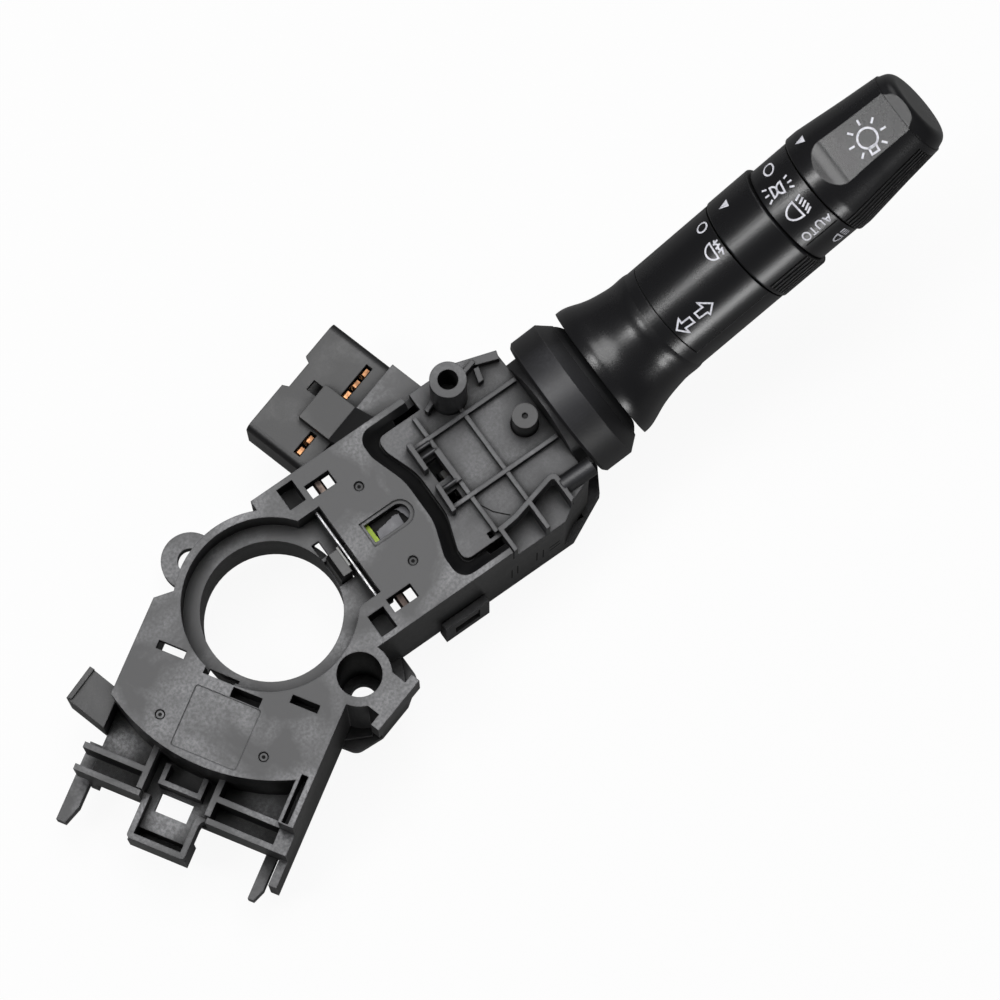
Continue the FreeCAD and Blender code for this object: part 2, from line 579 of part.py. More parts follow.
for number, place in enumerate((0, 1, 5, 6, 7)):
    terminal = body("terminal_%d" % (number + 1), ROW)
    middle = "terminal_first + %d * terminal_pitch" % place
    pad(terminal, middle + " - terminal_width / 2", middle + " + terminal_width / 2", [[
        (slot_start, "terminal_level"), (connector_end + " - 3", "terminal_level"),
        (connector_end + " - 3", "terminal_level + terminal_thick"),
        (slot_start + " + 1.4", "terminal_level + terminal_thick"),
        (slot_start + " + 1.4", "connector_top - 1.2"), (slot_start + " + 0.4", "connector_top - 1.2"),
        (slot_start + " + 0.4", "terminal_level + terminal_thick"),
        (slot_start, "terminal_level + terminal_thick")]], plane="YZ")

# The lock arm slopes from the housing wall down onto the connector
sizes(lock_near=39.2, lock_far=49, lock_thick=2.5, lock_reach=24, lock_bend=15.2)
connector_lock = body("connector_lock", ROW)
pad(connector_lock, "lock_near", "lock_far", [[
    ("7", "connector_top + 4"), ("lock_bend - 0.4", "connector_top"), ("lock_reach", "connector_top"),
    ("lock_reach", "connector_top + lock_thick"), ("lock_bend", "connector_top + lock_thick"),
    ("7", "plate_top - 0.3")]], plane="YZ")
pocket(connector_lock, "connector_top - 1", "plate_top + 1", [
    box("15", "80", "-10", "housing_half")], turn="-housing_turn")

# Harness clip: a small box on the wall of the wiper side
sizes(clip_near=-29.8, clip_far=-39, clip_out=10.5, clip_low=8, clip_high=20, clip_skew=3, clip_wall=1.5)
harness_clip = body("harness_clip", WIPER)
pad(harness_clip, "clip_low", "clip_high", [[
    ("clip_far", "wiper_half"), ("clip_near", "wiper_half"), ("clip_near + clip_skew - 0.5", "wiper_half + clip_out - 2"),
    ("clip_far + clip_skew", "wiper_half + clip_out")]])
pocket(harness_clip, "clip_low - 1", "clip_high - clip_wall", [[
    ("clip_far + clip_wall", "wiper_half + clip_wall"), ("clip_near - clip_wall", "wiper_half + clip_wall"),
    ("clip_near + clip_skew - 2.3", "wiper_half + clip_out - 3.8"),
    ("clip_far + clip_skew + 1.2", "wiper_half + clip_out - 2.1")]])
pad(harness_clip, "clip_high - 0.5", "clip_high + 0.6", [[
    ("clip_near + clip_skew - 0.5", "wiper_half + clip_out - 2"), ("clip_far + clip_skew", "wiper_half + clip_out"),
    ("clip_far + clip_skew + 0.2", "wiper_half + clip_out - 1.2"),
    ("clip_near + clip_skew - 0.7", "wiper_half + clip_out - 3.2")]])

# Switch cover: a ribbed lid over the lever end of the housing
sizes(cover_floor=28.5, cover_skin=2.2, rib_height=1.9)
sizes(boss_x=61, boss_y=16.3, boss_top=44, boss_radius=4.25, boss_bore=2.35, boss_depth=12)
sizes(post_radius=3, post_top=35.6, duct_radius=2.3, duct_side=-15.8, clip_top=33)

switch_cover = body("switch_cover", HOUSING)


def cover_outline():
    """The lid seen along the column."""
    return [
        ("52", "-17.2"), ("cover_left", "-17.2", "1.8"), ("cover_left", "-neck_half", "4"),
        ("cover_belly", "-belly_half", "12"), ("cover_belly", "belly_half", "12"),
        ("cover_left", "neck_half", "4"), ("cover_left", "17.8", "1.8"), ("54", "17.8"),
        ("54", "housing_half"), ("shoulder_x", "housing_half"), ("shoulder_end_x", "shoulder_end_y"),
        ("housing_end", "end_half"), ("housing_end", "-end_low"),
        ("chamfer_end_x", "-chamfer_end_y"), ("chamfer_x", "-housing_half"), ("52", "-housing_half")]


pad(switch_cover, "cover_seat", "cover_floor", [cover_outline()])
pocket(switch_cover, "cover_seat - 1", "cover_floor - cover_skin", [
    box("ledge_end + fit", "housing_end - wall", "-12", "end_half - 0.5")])

# Shroud boss, crossed ribs and the ridge along the shoulder
pad(switch_cover, "cover_floor - cover_skin", "boss_top", [disc("boss_x", "boss_y", "boss_radius")])
pad(switch_cover, "cover_floor - 0.5", "cover_floor + rib_height", [
    box("47.3", "housing_end - 0.5", "10.2", "11.2"),
    box("45.5", "housing_end - 0.5", "-6.2", "-5.2")])
pad(switch_cover, "cover_floor - 0.5", "cover_floor + rib_height - 0.2", [
    box("51", "52", "-16", "16.6"), box("61", "62", "-14.8", "13.2")])
pad(switch_cover, "cover_floor - 0.5", "cover_floor + rib_height + 0.6", [[
    ("66", "housing_half - 0.4"), ("66", "housing_half - 2.2"), ("75.4", "shoulder_end_y - 2"),
    ("76", "shoulder_end_y")]])
pad(switch_cover, "cover_floor - 0.5", "cover_floor + 3.4", [
    [("64", "17.2"), ("70.2", "18.9"), ("70", "19.9"), ("64", "18.2")],
    [("54.6", "15.4"), ("58", "17"), ("58", "18"), ("54.4", "16.4")]])
pad(switch_cover, "cover_floor - 0.5", "cover_floor + 2.6", [
    [("68.2", "14.6"), ("69.6", "14.6"), ("70.4", "17.8"), ("69.2", "18")]])

# Two scoops with an open side, parted by the end of the cross rib
scoop_wall = [
    ("scoop_near", "-housing_half"), ("chamfer_x", "-housing_half"), ("scoop_far", "-chamfer_end_y"),
    ("scoop_far", "-12.4", "1.2"), ("68.6", "-12.2"), ("56.7", "-15.2"), ("scoop_near", "-15.6")]
pad(switch_cover, "scoop_floor - scoop_skin", "plate_top + 0.5", [scoop_wall])
pocket(switch_cover, "scoop_floor", "plate_top + 1", [
    [("53", "-housing_half - 1"), ("61", "-housing_half - 1"), ("61", "-15.3"), ("57", "-16.3"), ("53", "-16.7")],
    [("62", "-housing_half - 1"), ("scoop_far - 1.1", "-housing_half - 1"), ("scoop_far - 1.1", "-13.8"),
     ("68.6", "-13.4"), ("62", "-15")]])
pad(switch_cover, "scoop_far - 0.5", "housing_end + 2", [disc("duct_side", "cover_floor", "duct_radius")], plane="YZ")

# Catch of the wiring: two upright blades, three cross bars and two windows between them
pocket(switch_cover, "cover_seat - 1", "plate_top + 1", [
    box("47.6", "50.6", "1.2", "6.6"), box("47.4", "50", "-4.8", "-2.2")])
pad(switch_cover, "cover_floor - 0.5", "clip_top", [
    [("46", "11.8"), ("47.2", "11.8"), ("47", "4.4"), ("45.9", "4.4")],
    [("45.9", "0.2"), ("47", "0.2"), ("46.6", "-7"), ("45.5", "-7")]])
pad(switch_cover, "cover_floor - 0.5", "cover_floor + 2.6", [box("50.6", "52", "-1.6", "7.4")])
pad(switch_cover, "46.5", "51", [
    disc("7.6", "clip_top - 2.4", "0.6"), disc("-1", "clip_top - 2.4", "0.6"), disc("9.8", "clip_top - 2.8", "0.6")],
    plane="YZ")
pocket(switch_cover, "boss_top - boss_depth", "boss_top + 1", [disc("boss_x", "boss_y", "boss_bore")])
pocket(switch_cover, "cover_seat - 1", "plate_top + 1", [
    disc("pivot_x", "pivot_y", "post_radius + fit"), box("49.5", "51", "-16.3", "-14.8")])

# Lower cover: a shallow tray under the lever end, with a snap loop on its side
sizes(tray_start=34, tray_low=-7, tray_wall=1.8, tray_draft=2.5, nose_start=69.3, nose_side=80.6, nose_end=84)
lower_cover = body("lower_cover", HOUSING)


def tray_outline(inset):
    """The tray seen along the column, its walls moved in by an inset."""
    near = [("tray_start + " + inset, side + "(housing_half - %s)" % inset) for side in ("-", "")]
    nose = [("nose_start", "-housing_half + " + inset), ("nose_side", "-16.8 + " + inset),
            ("nose_end - " + inset, "-11.2 + %s / 2" % inset), ("nose_end - " + inset, "11.2 - %s / 2" % inset),
            ("nose_side", "16.8 - " + inset), ("nose_start", "housing_half - " + inset)]
    return [near[0]] + nose + [near[1]]


lofted(lower_cover, [
    ("tray_low", tray_outline("tray_draft"), "0"), ("tray_low + tray_draft", tray_outline("0"), "0")], plane="XY")
pad(lower_cover, "tray_low + tray_draft", "foot_gap", [tray_outline("0")])
pocket(lower_cover, "tray_low + tray_wall", "foot_gap - tray_wall", [tray_outline("(tray_wall + 1.2)")])
pocket(lower_cover, "tray_low + tray_wall", "1", [
    box("tray_start + tray_wall + 1.2", "housing_end - wall", "-housing_half + 3", "housing_half - 3")])
pad(lower_cover, "tray_low + tray_draft + 0.5", "loop_top", [
    box("loop_near", "loop_near + loop_leg", loop_face + " - loop_thick", loop_face),
    box("loop_far - loop_leg", "loop_far", loop_face + " - loop_thick", loop_face)])
pad(lower_cover, "tray_low + tray_draft + 0.5", "-1", [
    box("loop_near", "loop_far", loop_face + " - loop_thick", "-housing_half + 0.5")])
pad(lower_cover, "loop_top - 2.4", "loop_top", [
    box("loop_near", "loop_far", loop_face + " - loop_thick", loop_face)])

# Pillars of the tray, with a sunk seat for each cover screw
sizes(pillar=3.4, screw_seat=-4.2, seat_bore=3.1, shank_play=0.15, screw_head=2.7, screw_shank=1.45)
sizes(screw_top=8, head_thick=2.1)
pad(lower_cover, "tray_low + tray_wall - 0.5", "foot_gap", [disc(x, y, "pillar") for x, y in screw_places])
pocket(lower_cover, "tray_low - 1", "screw_seat", [disc(x, y, "seat_bore") for x, y in screw_places])
pocket(lower_cover, "screw_seat - 1", "1", [disc(x, y, "thread_bore + shank_play") for x, y in screw_places])
cover_screws = body("cover_screws", HOUSING)
pad(cover_screws, "screw_seat - head_thick", "screw_seat", [disc(x, y, "screw_head") for x, y in screw_places])
pad(cover_screws, "screw_seat - 0.5", "screw_top", [disc(x, y, "screw_shank") for x, y in screw_places])

# Stalk collar: a round sleeve with a ball-shaped mouth on the end of the housing
sizes(collar_radius=18.4, collar_mouth=15.8, collar_back=-4.4, collar_front=6.4, collar_bevel=3.3)
sizes(collar_wall=1.9, neck_radius=15)
stalk_collar = body("stalk_collar", COLLAR)
turned(stalk_collar, [
    ("-18", "0"), ("-18", "neck_radius"), ("collar_back", "neck_radius"),
    ("collar_back", "collar_radius - 0.8"), ("collar_back + 0.8", "collar_radius"),
    ("collar_bevel", "collar_radius"), ("collar_front", "collar_mouth"),
    ("collar_front", "collar_mouth - 1.2"), ("collar_bevel - 0.4", "collar_radius - collar_wall"),
    ("collar_back + 1.6", "collar_radius - collar_wall"), ("collar_back + 1.6", "0")])
neck_seat = "(housing_end - pivot_x - collar_reach * cos(stalk_rise) + (%s) * sin(collar_rise))"
neck_seat += " / cos(collar_rise)"
pocket(stalk_collar, "-neck_radius - 5", "neck_radius + 5", [[
    ("-40", "-neck_radius - 5"), (neck_seat % "-neck_radius - 5", "-neck_radius - 5"),
    (neck_seat % "neck_radius", "neck_radius"), ("-40", "neck_radius")]], plane="XZ")
pocket(stalk_collar, "-20", "collar_back + 3", [[
    ("-lever_window + 0.5", "-12", "3"), ("lever_window - 0.5", "-12", "3"),
    ("lever_window - 0.5", "6.5", "3"), ("-lever_window + 0.5", "6.5", "3")]], plane="YZ")

# Contact carrier: a hollow block on the tray, with the notched detent arc at its end
sizes(carrier_start=37.3, carrier_wide=10.5, board_level=15.4, board_thick=1.6, bed_thick=1.8)
sizes(detent_radius=24.6, detent_deep=0.6, detent_step=11)
contact_carrier = body("contact_carrier", HOUSING)
detent_face = []
for step in range(-3, 4):
    reach = "(detent_radius + detent_deep * %d)" % (1 - abs(step) % 2)
    bearing = "(%d * detent_step / 2)" % step
    detent_face.append(("pivot_x - %s * cos(%s)" % (reach, bearing), "pivot_y + %s * sin(%s)" % (reach, bearing)))
tray_floor = "tray_low + tray_wall"
pad(contact_carrier, tray_floor, "board_level", [[
    ("carrier_start", "pivot_y + carrier_wide"), ("carrier_start", "pivot_y - carrier_wide"),
    ("pivot_x - detent_radius - 3", "pivot_y - carrier_wide")] + detent_face + [
    ("pivot_x - detent_radius - 3", "pivot_y + carrier_wide")]])
pocket(contact_carrier, tray_floor + " - 1", "board_level - 1.6", [
    box("carrier_start + 1.6", "pivot_x - detent_radius - 3", "pivot_y - carrier_wide + 1.6",
        "pivot_y + carrier_wide - 1.6")])

# Circuit board on the carrier, and the lime-green bed of the contact slider on the board
contact_board = body("contact_board", HOUSING)
pad(contact_board, "board_level", "board_level + board_thick", [
    box("25.5", "48.4", "-9", "pivot_y + carrier_wide")])
window_bed = body("window_bed", HOUSING)
bed_top = "(board_level + board_thick + bed_thick)"
pad(window_bed, "board_level + board_thick", bed_top, [
    [("26", "-8.6"), ("41", "-8.6", "2"), ("41", "pivot_y + carrier_wide - 0.6", "2"),
     ("26", "pivot_y + carrier_wide - 0.6")]])

# Turn signal slider: a grey block with a slotted tongue that the carrier's peg moves
sizes(slider_thick=2.4, tongue_thick=1.5, peg_reach=18, peg_radius=1.5)
turn_slider = body("turn_slider", HOUSING)
slider_low = bed_top + " + fit"
slot_x = "pivot_x - peg_reach"
pad(turn_slider, slider_low, slider_low + " + tongue_thick", [[
    ("30", "pivot_y - 4.4"), ("36.2", "pivot_y - 4.4"), ("36.2", "pivot_y - 1.5"), (slot_x + " - 3.4", "pivot_y - 1.5"),
    (slot_x + " - 3.4", "pivot_y - 3.6"), (slot_x + " + 4", "pivot_y - 3.6"), (slot_x + " + 4", "pivot_y + 3.6"),
    (slot_x + " - 3.4", "pivot_y + 3.6"), (slot_x + " - 3.4", "pivot_y + 1.5"), ("36.2", "pivot_y + 1.5"),
    ("36.2", "pivot_y + 4.4"), ("30", "pivot_y + 4.4")]])
pad(turn_slider, slider_low, slider_low + " + slider_thick", [
    box("30", "36.2", "pivot_y - 4.4", "pivot_y + 4.4")])
pocket(turn_slider, slider_low + " - 1", slider_low + " + tongue_thick + 1", [
    box(slot_x + " - peg_radius - fit", slot_x + " + peg_radius + 0.6",
        "pivot_y - peg_radius - 0.25", "pivot_y + peg_radius + 0.25")])

sizes(rod_play=0.2, pawl_low_edge=2.4)

# Cancelling gear beside the ring: a steel rod, and a black pawl on a grey block that slides on it
cancel_rod = body("cancel_rod", HOUSING)
pad(cancel_rod, "-rod_half", "rod_half", [disc("rod_x", "rod_level", "rod_radius")], plane="XZ")
cancel_block = body("cancel_block", HOUSING)
pad(cancel_block, recess_floor + " + fit", inside + " - fit", [
    box("block_near", "block_far", "-block_half", "block_half")])
pocket(cancel_block, "-block_half - 1", "block_half + 1", [[
    ("rod_x - rod_radius - rod_play", "rod_level - rod_radius - rod_play"),
    ("rod_x + rod_radius + rod_play + pawl_travel", "rod_level - rod_radius - rod_play"),
    ("rod_x + rod_radius + rod_play + pawl_travel", inside), ("rod_x - rod_radius - rod_play", inside)]],
    plane="XZ")
cancel_pawl = body("cancel_pawl", HOUSING)
pad(cancel_pawl, "pawl_low", "pawl_high", [[
    ("block_near", recess_floor + " - pawl_low_edge"), ("block_near", "plate_top - 2.5"),
    ("pawl_tip + 0.8", "plate_top - 2.5"), ("pawl_tip", "plate_top - 4"),
    ("pawl_tip", recess_floor + " - pawl_low_edge")]], plane="XZ")

# Spring steel bars across the two see-through windows
sizes(bar_x=24, bar_width=2.3, bar_low=25.6, bar_thick=1.4)
for name, low, high in (("upper_bar", "window_low", "window_high"), ("lower_bar", "-window_high", "-window_low")):
    bar = body(name, HOUSING)
    pad(bar, low, high, [[
        ("bar_x", "bar_low"), ("bar_x + bar_width", "bar_low"), ("bar_x + bar_width", "bar_low + bar_thick - 0.5"),
        ("bar_x + bar_width - 0.5", "bar_low + bar_thick"), ("bar_x + 0.5", "bar_low + bar_thick"),
        ("bar_x", "bar_low + bar_thick - 0.5")]], plane="XZ")

# Swing carrier: turns on an upright post for the turn signals, and holds the lever on a cross pin
sizes(cheek_in=6.3, cheek_out=8.8, cheek_back=-7, cheek_front=2.6, yoke_low=-10.5, yoke_high=9.2)
sizes(bridge_thick=1.7, journal_low=-18.4, journal_radius=2.2, pin_radius=1.5, pin_play=0.2, arm_back=-21.6, arm_half=4.5)
sizes(arm_low=-7, arm_high=1, plunger_level=-4, plunger_radius=2.2)
swing_carrier = body("swing_carrier", PIVOT)
pad(swing_carrier, "yoke_low", "yoke_high", [
    box("cheek_back", "cheek_front", "cheek_in", "cheek_out"),
    box("cheek_back", "cheek_front", "-cheek_out", "-cheek_in")])
pad(swing_carrier, "yoke_low", "yoke_low + bridge_thick", [
    box("cheek_back", "cheek_front", "-cheek_out", "cheek_out")])
pad(swing_carrier, "yoke_high - bridge_thick", "yoke_high", [
    box("cheek_back", "post_radius", "-cheek_out", "cheek_out")])
pad(swing_carrier, "yoke_low", "arm_high", [box("cheek_back - 1.8", "cheek_back + 0.4", "-cheek_out", "cheek_out")])
pad(swing_carrier, "arm_low", "arm_high", [box("arm_back", "cheek_back", "-arm_half", "arm_half")])
pad(swing_carrier, "yoke_high - 0.5", "post_top - pivot_z", [disc("0", "0", "post_radius")])
pocket(swing_carrier, "post_top - pivot_z - 0.8", "post_top", [disc("0", "0", "0.7")])
pad(swing_carrier, "journal_low", "yoke_low + 0.5", [disc("0", "0", "journal_radius")])
pad(swing_carrier, "arm_high - 0.5", "arm_high + 4.3", [disc("-peg_reach", "0", "peg_radius")])
pocket(swing_carrier, "arm_back - 1", "arm_back + 11.5", [
    disc("0", "plunger_level", "plunger_radius + fit")], plane="YZ")
pocket(swing_carrier, "-cheek_out - 1", "cheek_out + 1", [disc("0", "0", "pin_radius")], plane="XZ")

cross_pin = body("cross_pin", PIVOT)
pad(cross_pin, "-cheek_out", "cheek_out", [disc("0", "0", "pin_radius")], plane="XZ")

# Detent plunger: its cone runs over the notched arc, pushed by a coil spring in the arm
sizes(plunger_length=9, plunger_gap=0.3, spring_wire=0.6)
detent_plunger = body("detent_plunger", PIVOT)
tip = "-detent_radius + plunger_gap"
turned(detent_plunger, [
    (tip, "0"), (tip, "0.5"), (tip + " + 1.8", "plunger_radius"), (tip + " + plunger_length", "plunger_radius"),
    (tip + " + plunger_length", "0")])
detent_plunger.setExpression("Placement", formula(PIVOT + " * " + shifted(z="plunger_level")))

detent_spring = body("detent_spring", PIVOT)
coil(detent_spring, "1.5", "spring_wire / 2", tip + " + plunger_length + spring_wire / 2", "1.1", "3.3")
detent_spring.setExpression("Placement", formula(PIVOT + " * " + shifted(z="plunger_level")))

# The flash spring winds round the cross pin beside the lever and returns it after a pull
flash_spring = body("flash_spring", PIVOT + " * " + shifted(angle="90"))
coil(flash_spring, "2.3", "spring_wire / 2", "4.25", "0.75", "1.5")

# The tray's socket takes the lower journal of the carrier
pad(lower_cover, tray_floor + " - 0.5", "-fit", [
    disc("pivot_x", "pivot_y", "journal_radius + fit + tray_wall")])
pocket(lower_cover, "pivot_z + journal_low - fit", "1", [
    disc("pivot_x", "pivot_y", "journal_radius + fit")])

# Lever core: a barrel on the cross pin, the neck, and the tube that carries the rings
sizes(barrel_radius=4.2, barrel_far=-6, barrel_near=2.6, neck_rod=3.6, stem_radius=4.6, disc_start=38)
sizes(grip_bore=10.5, tube_start=58, tube_end=91.5, ring_tube=9.7, ring_tube_bore=8.2, bearing_start=48)
sizes(shaft_radius=3)
lever_core = body("lever_core", STALK)
turned(lever_core, [
    ("1", "0"), ("1", "neck_rod"), ("20", "neck_rod"), ("24", "stem_radius"), ("disc_start", "stem_radius"),
    ("disc_start", "grip_bore - 0.15"), ("disc_start + 3", "grip_bore - 0.15"), ("disc_start + 3", "6"),
    ("tube_start", "6"), ("tube_start", "ring_tube"), ("tube_end", "ring_tube"), ("tube_end", "ring_tube_bore"),
    ("tube_start + 5", "ring_tube_bore"), ("tube_start + 5", "0")])
pad(lever_core, "barrel_far", "barrel_near", [disc("0", "0", "barrel_radius")], plane="XZ")
pocket(lever_core, "barrel_far - 1", "barrel_near + 1", [disc("0", "0", "pin_radius + pin_play")], plane="XZ")
pocket(lever_core, "bearing_start", "tube_start + 6", [disc("0", "0", "shaft_radius + fit")], plane="YZ")

# Stalk grip: a belled shell whose rim stands square to the collar
sizes(rim_station=24, rim_radius=17, rim_band=2, grip_radius=13.3, bell_end=44, grip_end=68.7)
sizes(panel_start=46.8, panel_half=65, panel_deep=0.9, seam=0.2)
stalk_grip = body("stalk_grip", STALK)
lean = "(stalk_rise - collar_rise)"
lofted(stalk_grip, [
    ("rim_station", disc("0", "0", "rim_radius"), lean),
    ("rim_station + rim_band", disc("0", "0", "rim_radius - 0.15"), lean),
    ("rim_station + 4.4", disc("0", "0", "grip_radius + 2.8"), lean + " * 0.9"),
    ("rim_station + 6.7", disc("0", "0", "grip_radius + 1.9"), lean + " * 0.75"),
    ("rim_station + 9.3", disc("0", "0", "grip_radius + 1.15"), lean + " * 0.55"),
    ("rim_station + 12.5", disc("0", "0", "grip_radius + 0.55"), lean + " * 0.35"),
    ("rim_station + 16", disc("0", "0", "grip_radius + 0.2"), lean + " * 0.15"),
    ("bell_end", disc("0", "0", "grip_radius"), "0")])
pad(stalk_grip, "bell_end", "grip_end", [disc("0", "0", "grip_radius")], plane="YZ")
lofted(stalk_grip, [
    ("rim_station - 0.5", disc("0", "0", "rim_radius - 2.4"), lean),
    ("rim_station + 4", disc("0", "0", "grip_radius"), lean),
    ("rim_station + 11", disc("0", "0", "grip_bore"), lean + " * 0.3")], cut=True)
pocket(stalk_grip, "rim_station + 9", "grip_end + 1", [disc("0", "0", "grip_bore")], plane="YZ")
turned(stalk_grip, [
    ("panel_start", "grip_radius - panel_deep"), ("grip_end + 1", "grip_radius - panel_deep"),
    ("grip_end + 1", "grip_radius + 1"), ("panel_start", "grip_radius + 1")],
    cut=True, angle="2 * panel_half")

# Label panel: a curved plate let into the grip
label_panel = body("label_panel", STALK)
turned(label_panel, [
    ("panel_start + seam", "grip_radius - panel_deep"), ("grip_end", "grip_radius - panel_deep"),
    ("grip_end", "grip_radius"), ("panel_start + seam", "grip_radius")],
    angle="2 * panel_half - 2 * seam * 180 / (pi * grip_radius)")

# Fog light ring, symbol band, light knob, its cap and its shaft
sizes(ring_gap=0.4, fog_length=12, fog_radius=13.6, band_length=10.4, band_radius=12.5)
sizes(knob_length=24.8, knob_radius=13.1, knob_tip_radius=10.7, knob_bore=9.6, knob_web=8.5, cap_length=3.2)
sizes(knurl_count=13, knurl_angle=62, knurl_deep=0.45, knurl_wide=0.7, drum_radius=7.5)
sizes(facet_near=11.3, facet_slope=5.9)
fog_start = "(grip_end + ring_gap)"
band_start = "(grip_end + 2 * ring_gap + fog_length)"
knob_start = "(grip_end + 3 * ring_gap + fog_length + band_length)"
knob_end = "(grip_end + 3 * ring_gap + fog_length + band_length + knob_length)"

fog_ring = body("fog_ring", STALK)
turned(fog_ring, [
    (fog_start, "ring_tube + fit"), (fog_start + " + fog_length", "ring_tube + fit"),
    (fog_start + " + fog_length", "fog_radius", "0.4"), (fog_start, "fog_radius", "0.4")])
groove = pocket(fog_ring, fog_start + " + 1", fog_start + " + fog_length + 1", [
    box("-fog_radius - 1", "-fog_radius + knurl_deep", "-knurl_wide / 2", "knurl_wide / 2")],
    plane="YZ", turn="-knurl_angle / 2")
repeated(fog_ring, groove, "knurl_count", "knurl_angle")

symbol_band = body("symbol_band", STALK)
turned(symbol_band, [
    (band_start, "ring_tube + 0.1"), (band_start + " + band_length", "ring_tube + 0.1"),
    (band_start + " + band_length", "band_radius"), (band_start, "band_radius")])

light_knob = body("light_knob", STALK)
turned(light_knob, [
    (knob_start, "knob_bore"), (knob_end + " - knob_web", "knob_bore"), (knob_end + " - knob_web", "0"),
    (knob_end, "0"), (knob_end, "knob_tip_radius"), (knob_start + " + knob_length * 0.6", "knob_tip_radius + 1", "30"),
    (knob_start + " + 3", "knob_radius", "6"), (knob_start, "knob_radius", "0.4")])
facet_end = "(knob_end_level + cap_length + 1)".replace("knob_end_level", knob_end)
facet_far = "facet_near - (%s - %s - 6) * tan(facet_slope)" % (facet_end, knob_start)
facet = [
    (knob_start + " + 3.2", "knob_radius + 1"), (knob_start + " + 3.2", "knob_radius"),
    (knob_start + " + 6", "facet_near", "7"), (facet_end, facet_far), (facet_end, "knob_radius + 1")]
pocket(light_knob, "-knob_radius", "knob_radius", [facet], plane="XZ")
groove = light_knob.newObject("PartDesign::Pocket", "light_knob_knurl")
groove.Profile = sketch_on(light_knob, "XY", "0", "0", [[
    (knob_start + " - 1", "-knob_radius + knurl_deep"), (knob_start + " + 3", "-knob_radius + knurl_deep"),
    (knob_start + " + knob_length * 0.6", "-knob_tip_radius - 1 + knurl_deep"),
    (knob_end + " - 1.5", "-knob_tip_radius + knurl_deep"), (knob_end + " - 1.5", "-knob_radius - 1"),
    (knob_start + " - 1", "-knob_radius - 1")]], tilt="-knurl_angle / 2")
groove.Midplane = True
groove.setExpression("Length", formula("knurl_wide"))
light_knob.Tip = groove
repeated(light_knob, groove, "knurl_count", "knurl_angle")

knob_cap = body("knob_cap", STALK)
turned(knob_cap, [
    (knob_end, "0"), (knob_end, "knob_tip_radius - 0.2"),
    (knob_end + " + cap_length", "knob_tip_radius - 1.4", "2.6"), (knob_end + " + cap_length", "0")])
pocket(knob_cap, "-knob_radius", "knob_radius", [facet], plane="XZ")

knob_shaft = body("knob_shaft", STALK)
turned(knob_shaft, [
    ("bearing_start + 0.5", "0"), ("bearing_start + 0.5", "shaft_radius"),
    ("tube_start + 7", "shaft_radius"), ("tube_start + 7", "drum_radius"),
    ("tube_start + 21", "drum_radius"), ("tube_start + 21", "shaft_radius + 1"),
    (knob_end + " - knob_web", "shaft_radius + 1"), (knob_end + " - knob_web", "0")])

# Every object is sound, and every cut has taken something away
doc.recompute()
for item in doc.Objects:
    if "Invalid" in item.State or "Error" in item.State:
        raise ValueError("failed: " + item.Label)
    if item.TypeId in ("PartDesign::Pocket", "PartDesign::Groove", "PartDesign::SubtractiveLoft"):
        if item.BaseFeature.Shape.Volume - item.Shape.Volume < 0.01:
            raise ValueError("cuts nothing: " + item.Label)
os.makedirs("parts", exist_ok=True)
for piece in sub_parts:
    shape = piece.Shape
    if shape.isNull() or not shape.isValid():
        raise ValueError("unsound: " + piece.Label)
    print(piece.Label, len(shape.Solids), round(shape.Volume, 1))
    shape.exportStep("parts/%s.step" % piece.Label)
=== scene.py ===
import math
import random

import bmesh
import bpy
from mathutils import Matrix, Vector
from mathutils.bvhtree import BVHTree


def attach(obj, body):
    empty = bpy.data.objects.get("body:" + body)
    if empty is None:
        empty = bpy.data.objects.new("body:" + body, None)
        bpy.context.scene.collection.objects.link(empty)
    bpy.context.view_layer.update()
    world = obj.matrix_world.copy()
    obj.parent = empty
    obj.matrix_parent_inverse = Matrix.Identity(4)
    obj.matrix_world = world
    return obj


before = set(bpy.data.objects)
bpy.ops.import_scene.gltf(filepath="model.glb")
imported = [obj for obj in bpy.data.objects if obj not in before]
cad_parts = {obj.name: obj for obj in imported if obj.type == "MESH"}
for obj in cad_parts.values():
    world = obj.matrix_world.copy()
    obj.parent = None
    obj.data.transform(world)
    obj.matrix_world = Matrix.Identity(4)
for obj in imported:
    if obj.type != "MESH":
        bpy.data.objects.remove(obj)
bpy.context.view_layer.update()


# Studio camera. A long lens looks down on the switch as it lies on the table,
# leaning a little towards the wiper side, so that far edges barely converge.
camera_data = bpy.data.cameras.new("studio_camera")
camera_data.lens = 144.0
camera_data.sensor_width = 36.0
camera_data.clip_end = 20.0
studio_camera = bpy.data.objects.new("studio_camera", camera_data)
bpy.context.scene.collection.objects.link(studio_camera)
picture_right = Vector((0.62251464, -0.78260816, 0.0))
picture_up = Vector((0.76001761, 0.6045453, 0.23853346))
towards_camera = Vector((-0.18667823, -0.14849057, 0.97113428))
camera_place = Vector((-0.11844647, -0.1605857, 0.91284935))
for column, axis in enumerate((picture_right, picture_up, towards_camera)):
    for row in range(3):
        studio_camera.matrix_world[row][column] = axis[row]
studio_camera.matrix_world.translation = camera_place
bpy.context.scene.camera = studio_camera
bpy.context.scene.view_settings.view_transform = "Standard"


# Table. A large white board that the camera and polished metal see as white,
# while it throws back only a little light and still takes the switch's shadow.
board_mesh = bpy.data.meshes.new("table_board")
board_half = 6.0
board_height = -0.0071
board_corners = [(-1, -1), (1, -1), (1, 1), (-1, 1)]
board_points = [(x * board_half, y * board_half, board_height) for x, y in board_corners]
board_mesh.from_pydata(board_points, [], [(0, 1, 2, 3)])
table_board = bpy.data.objects.new("table_board", board_mesh)
bpy.context.scene.collection.objects.link(table_board)


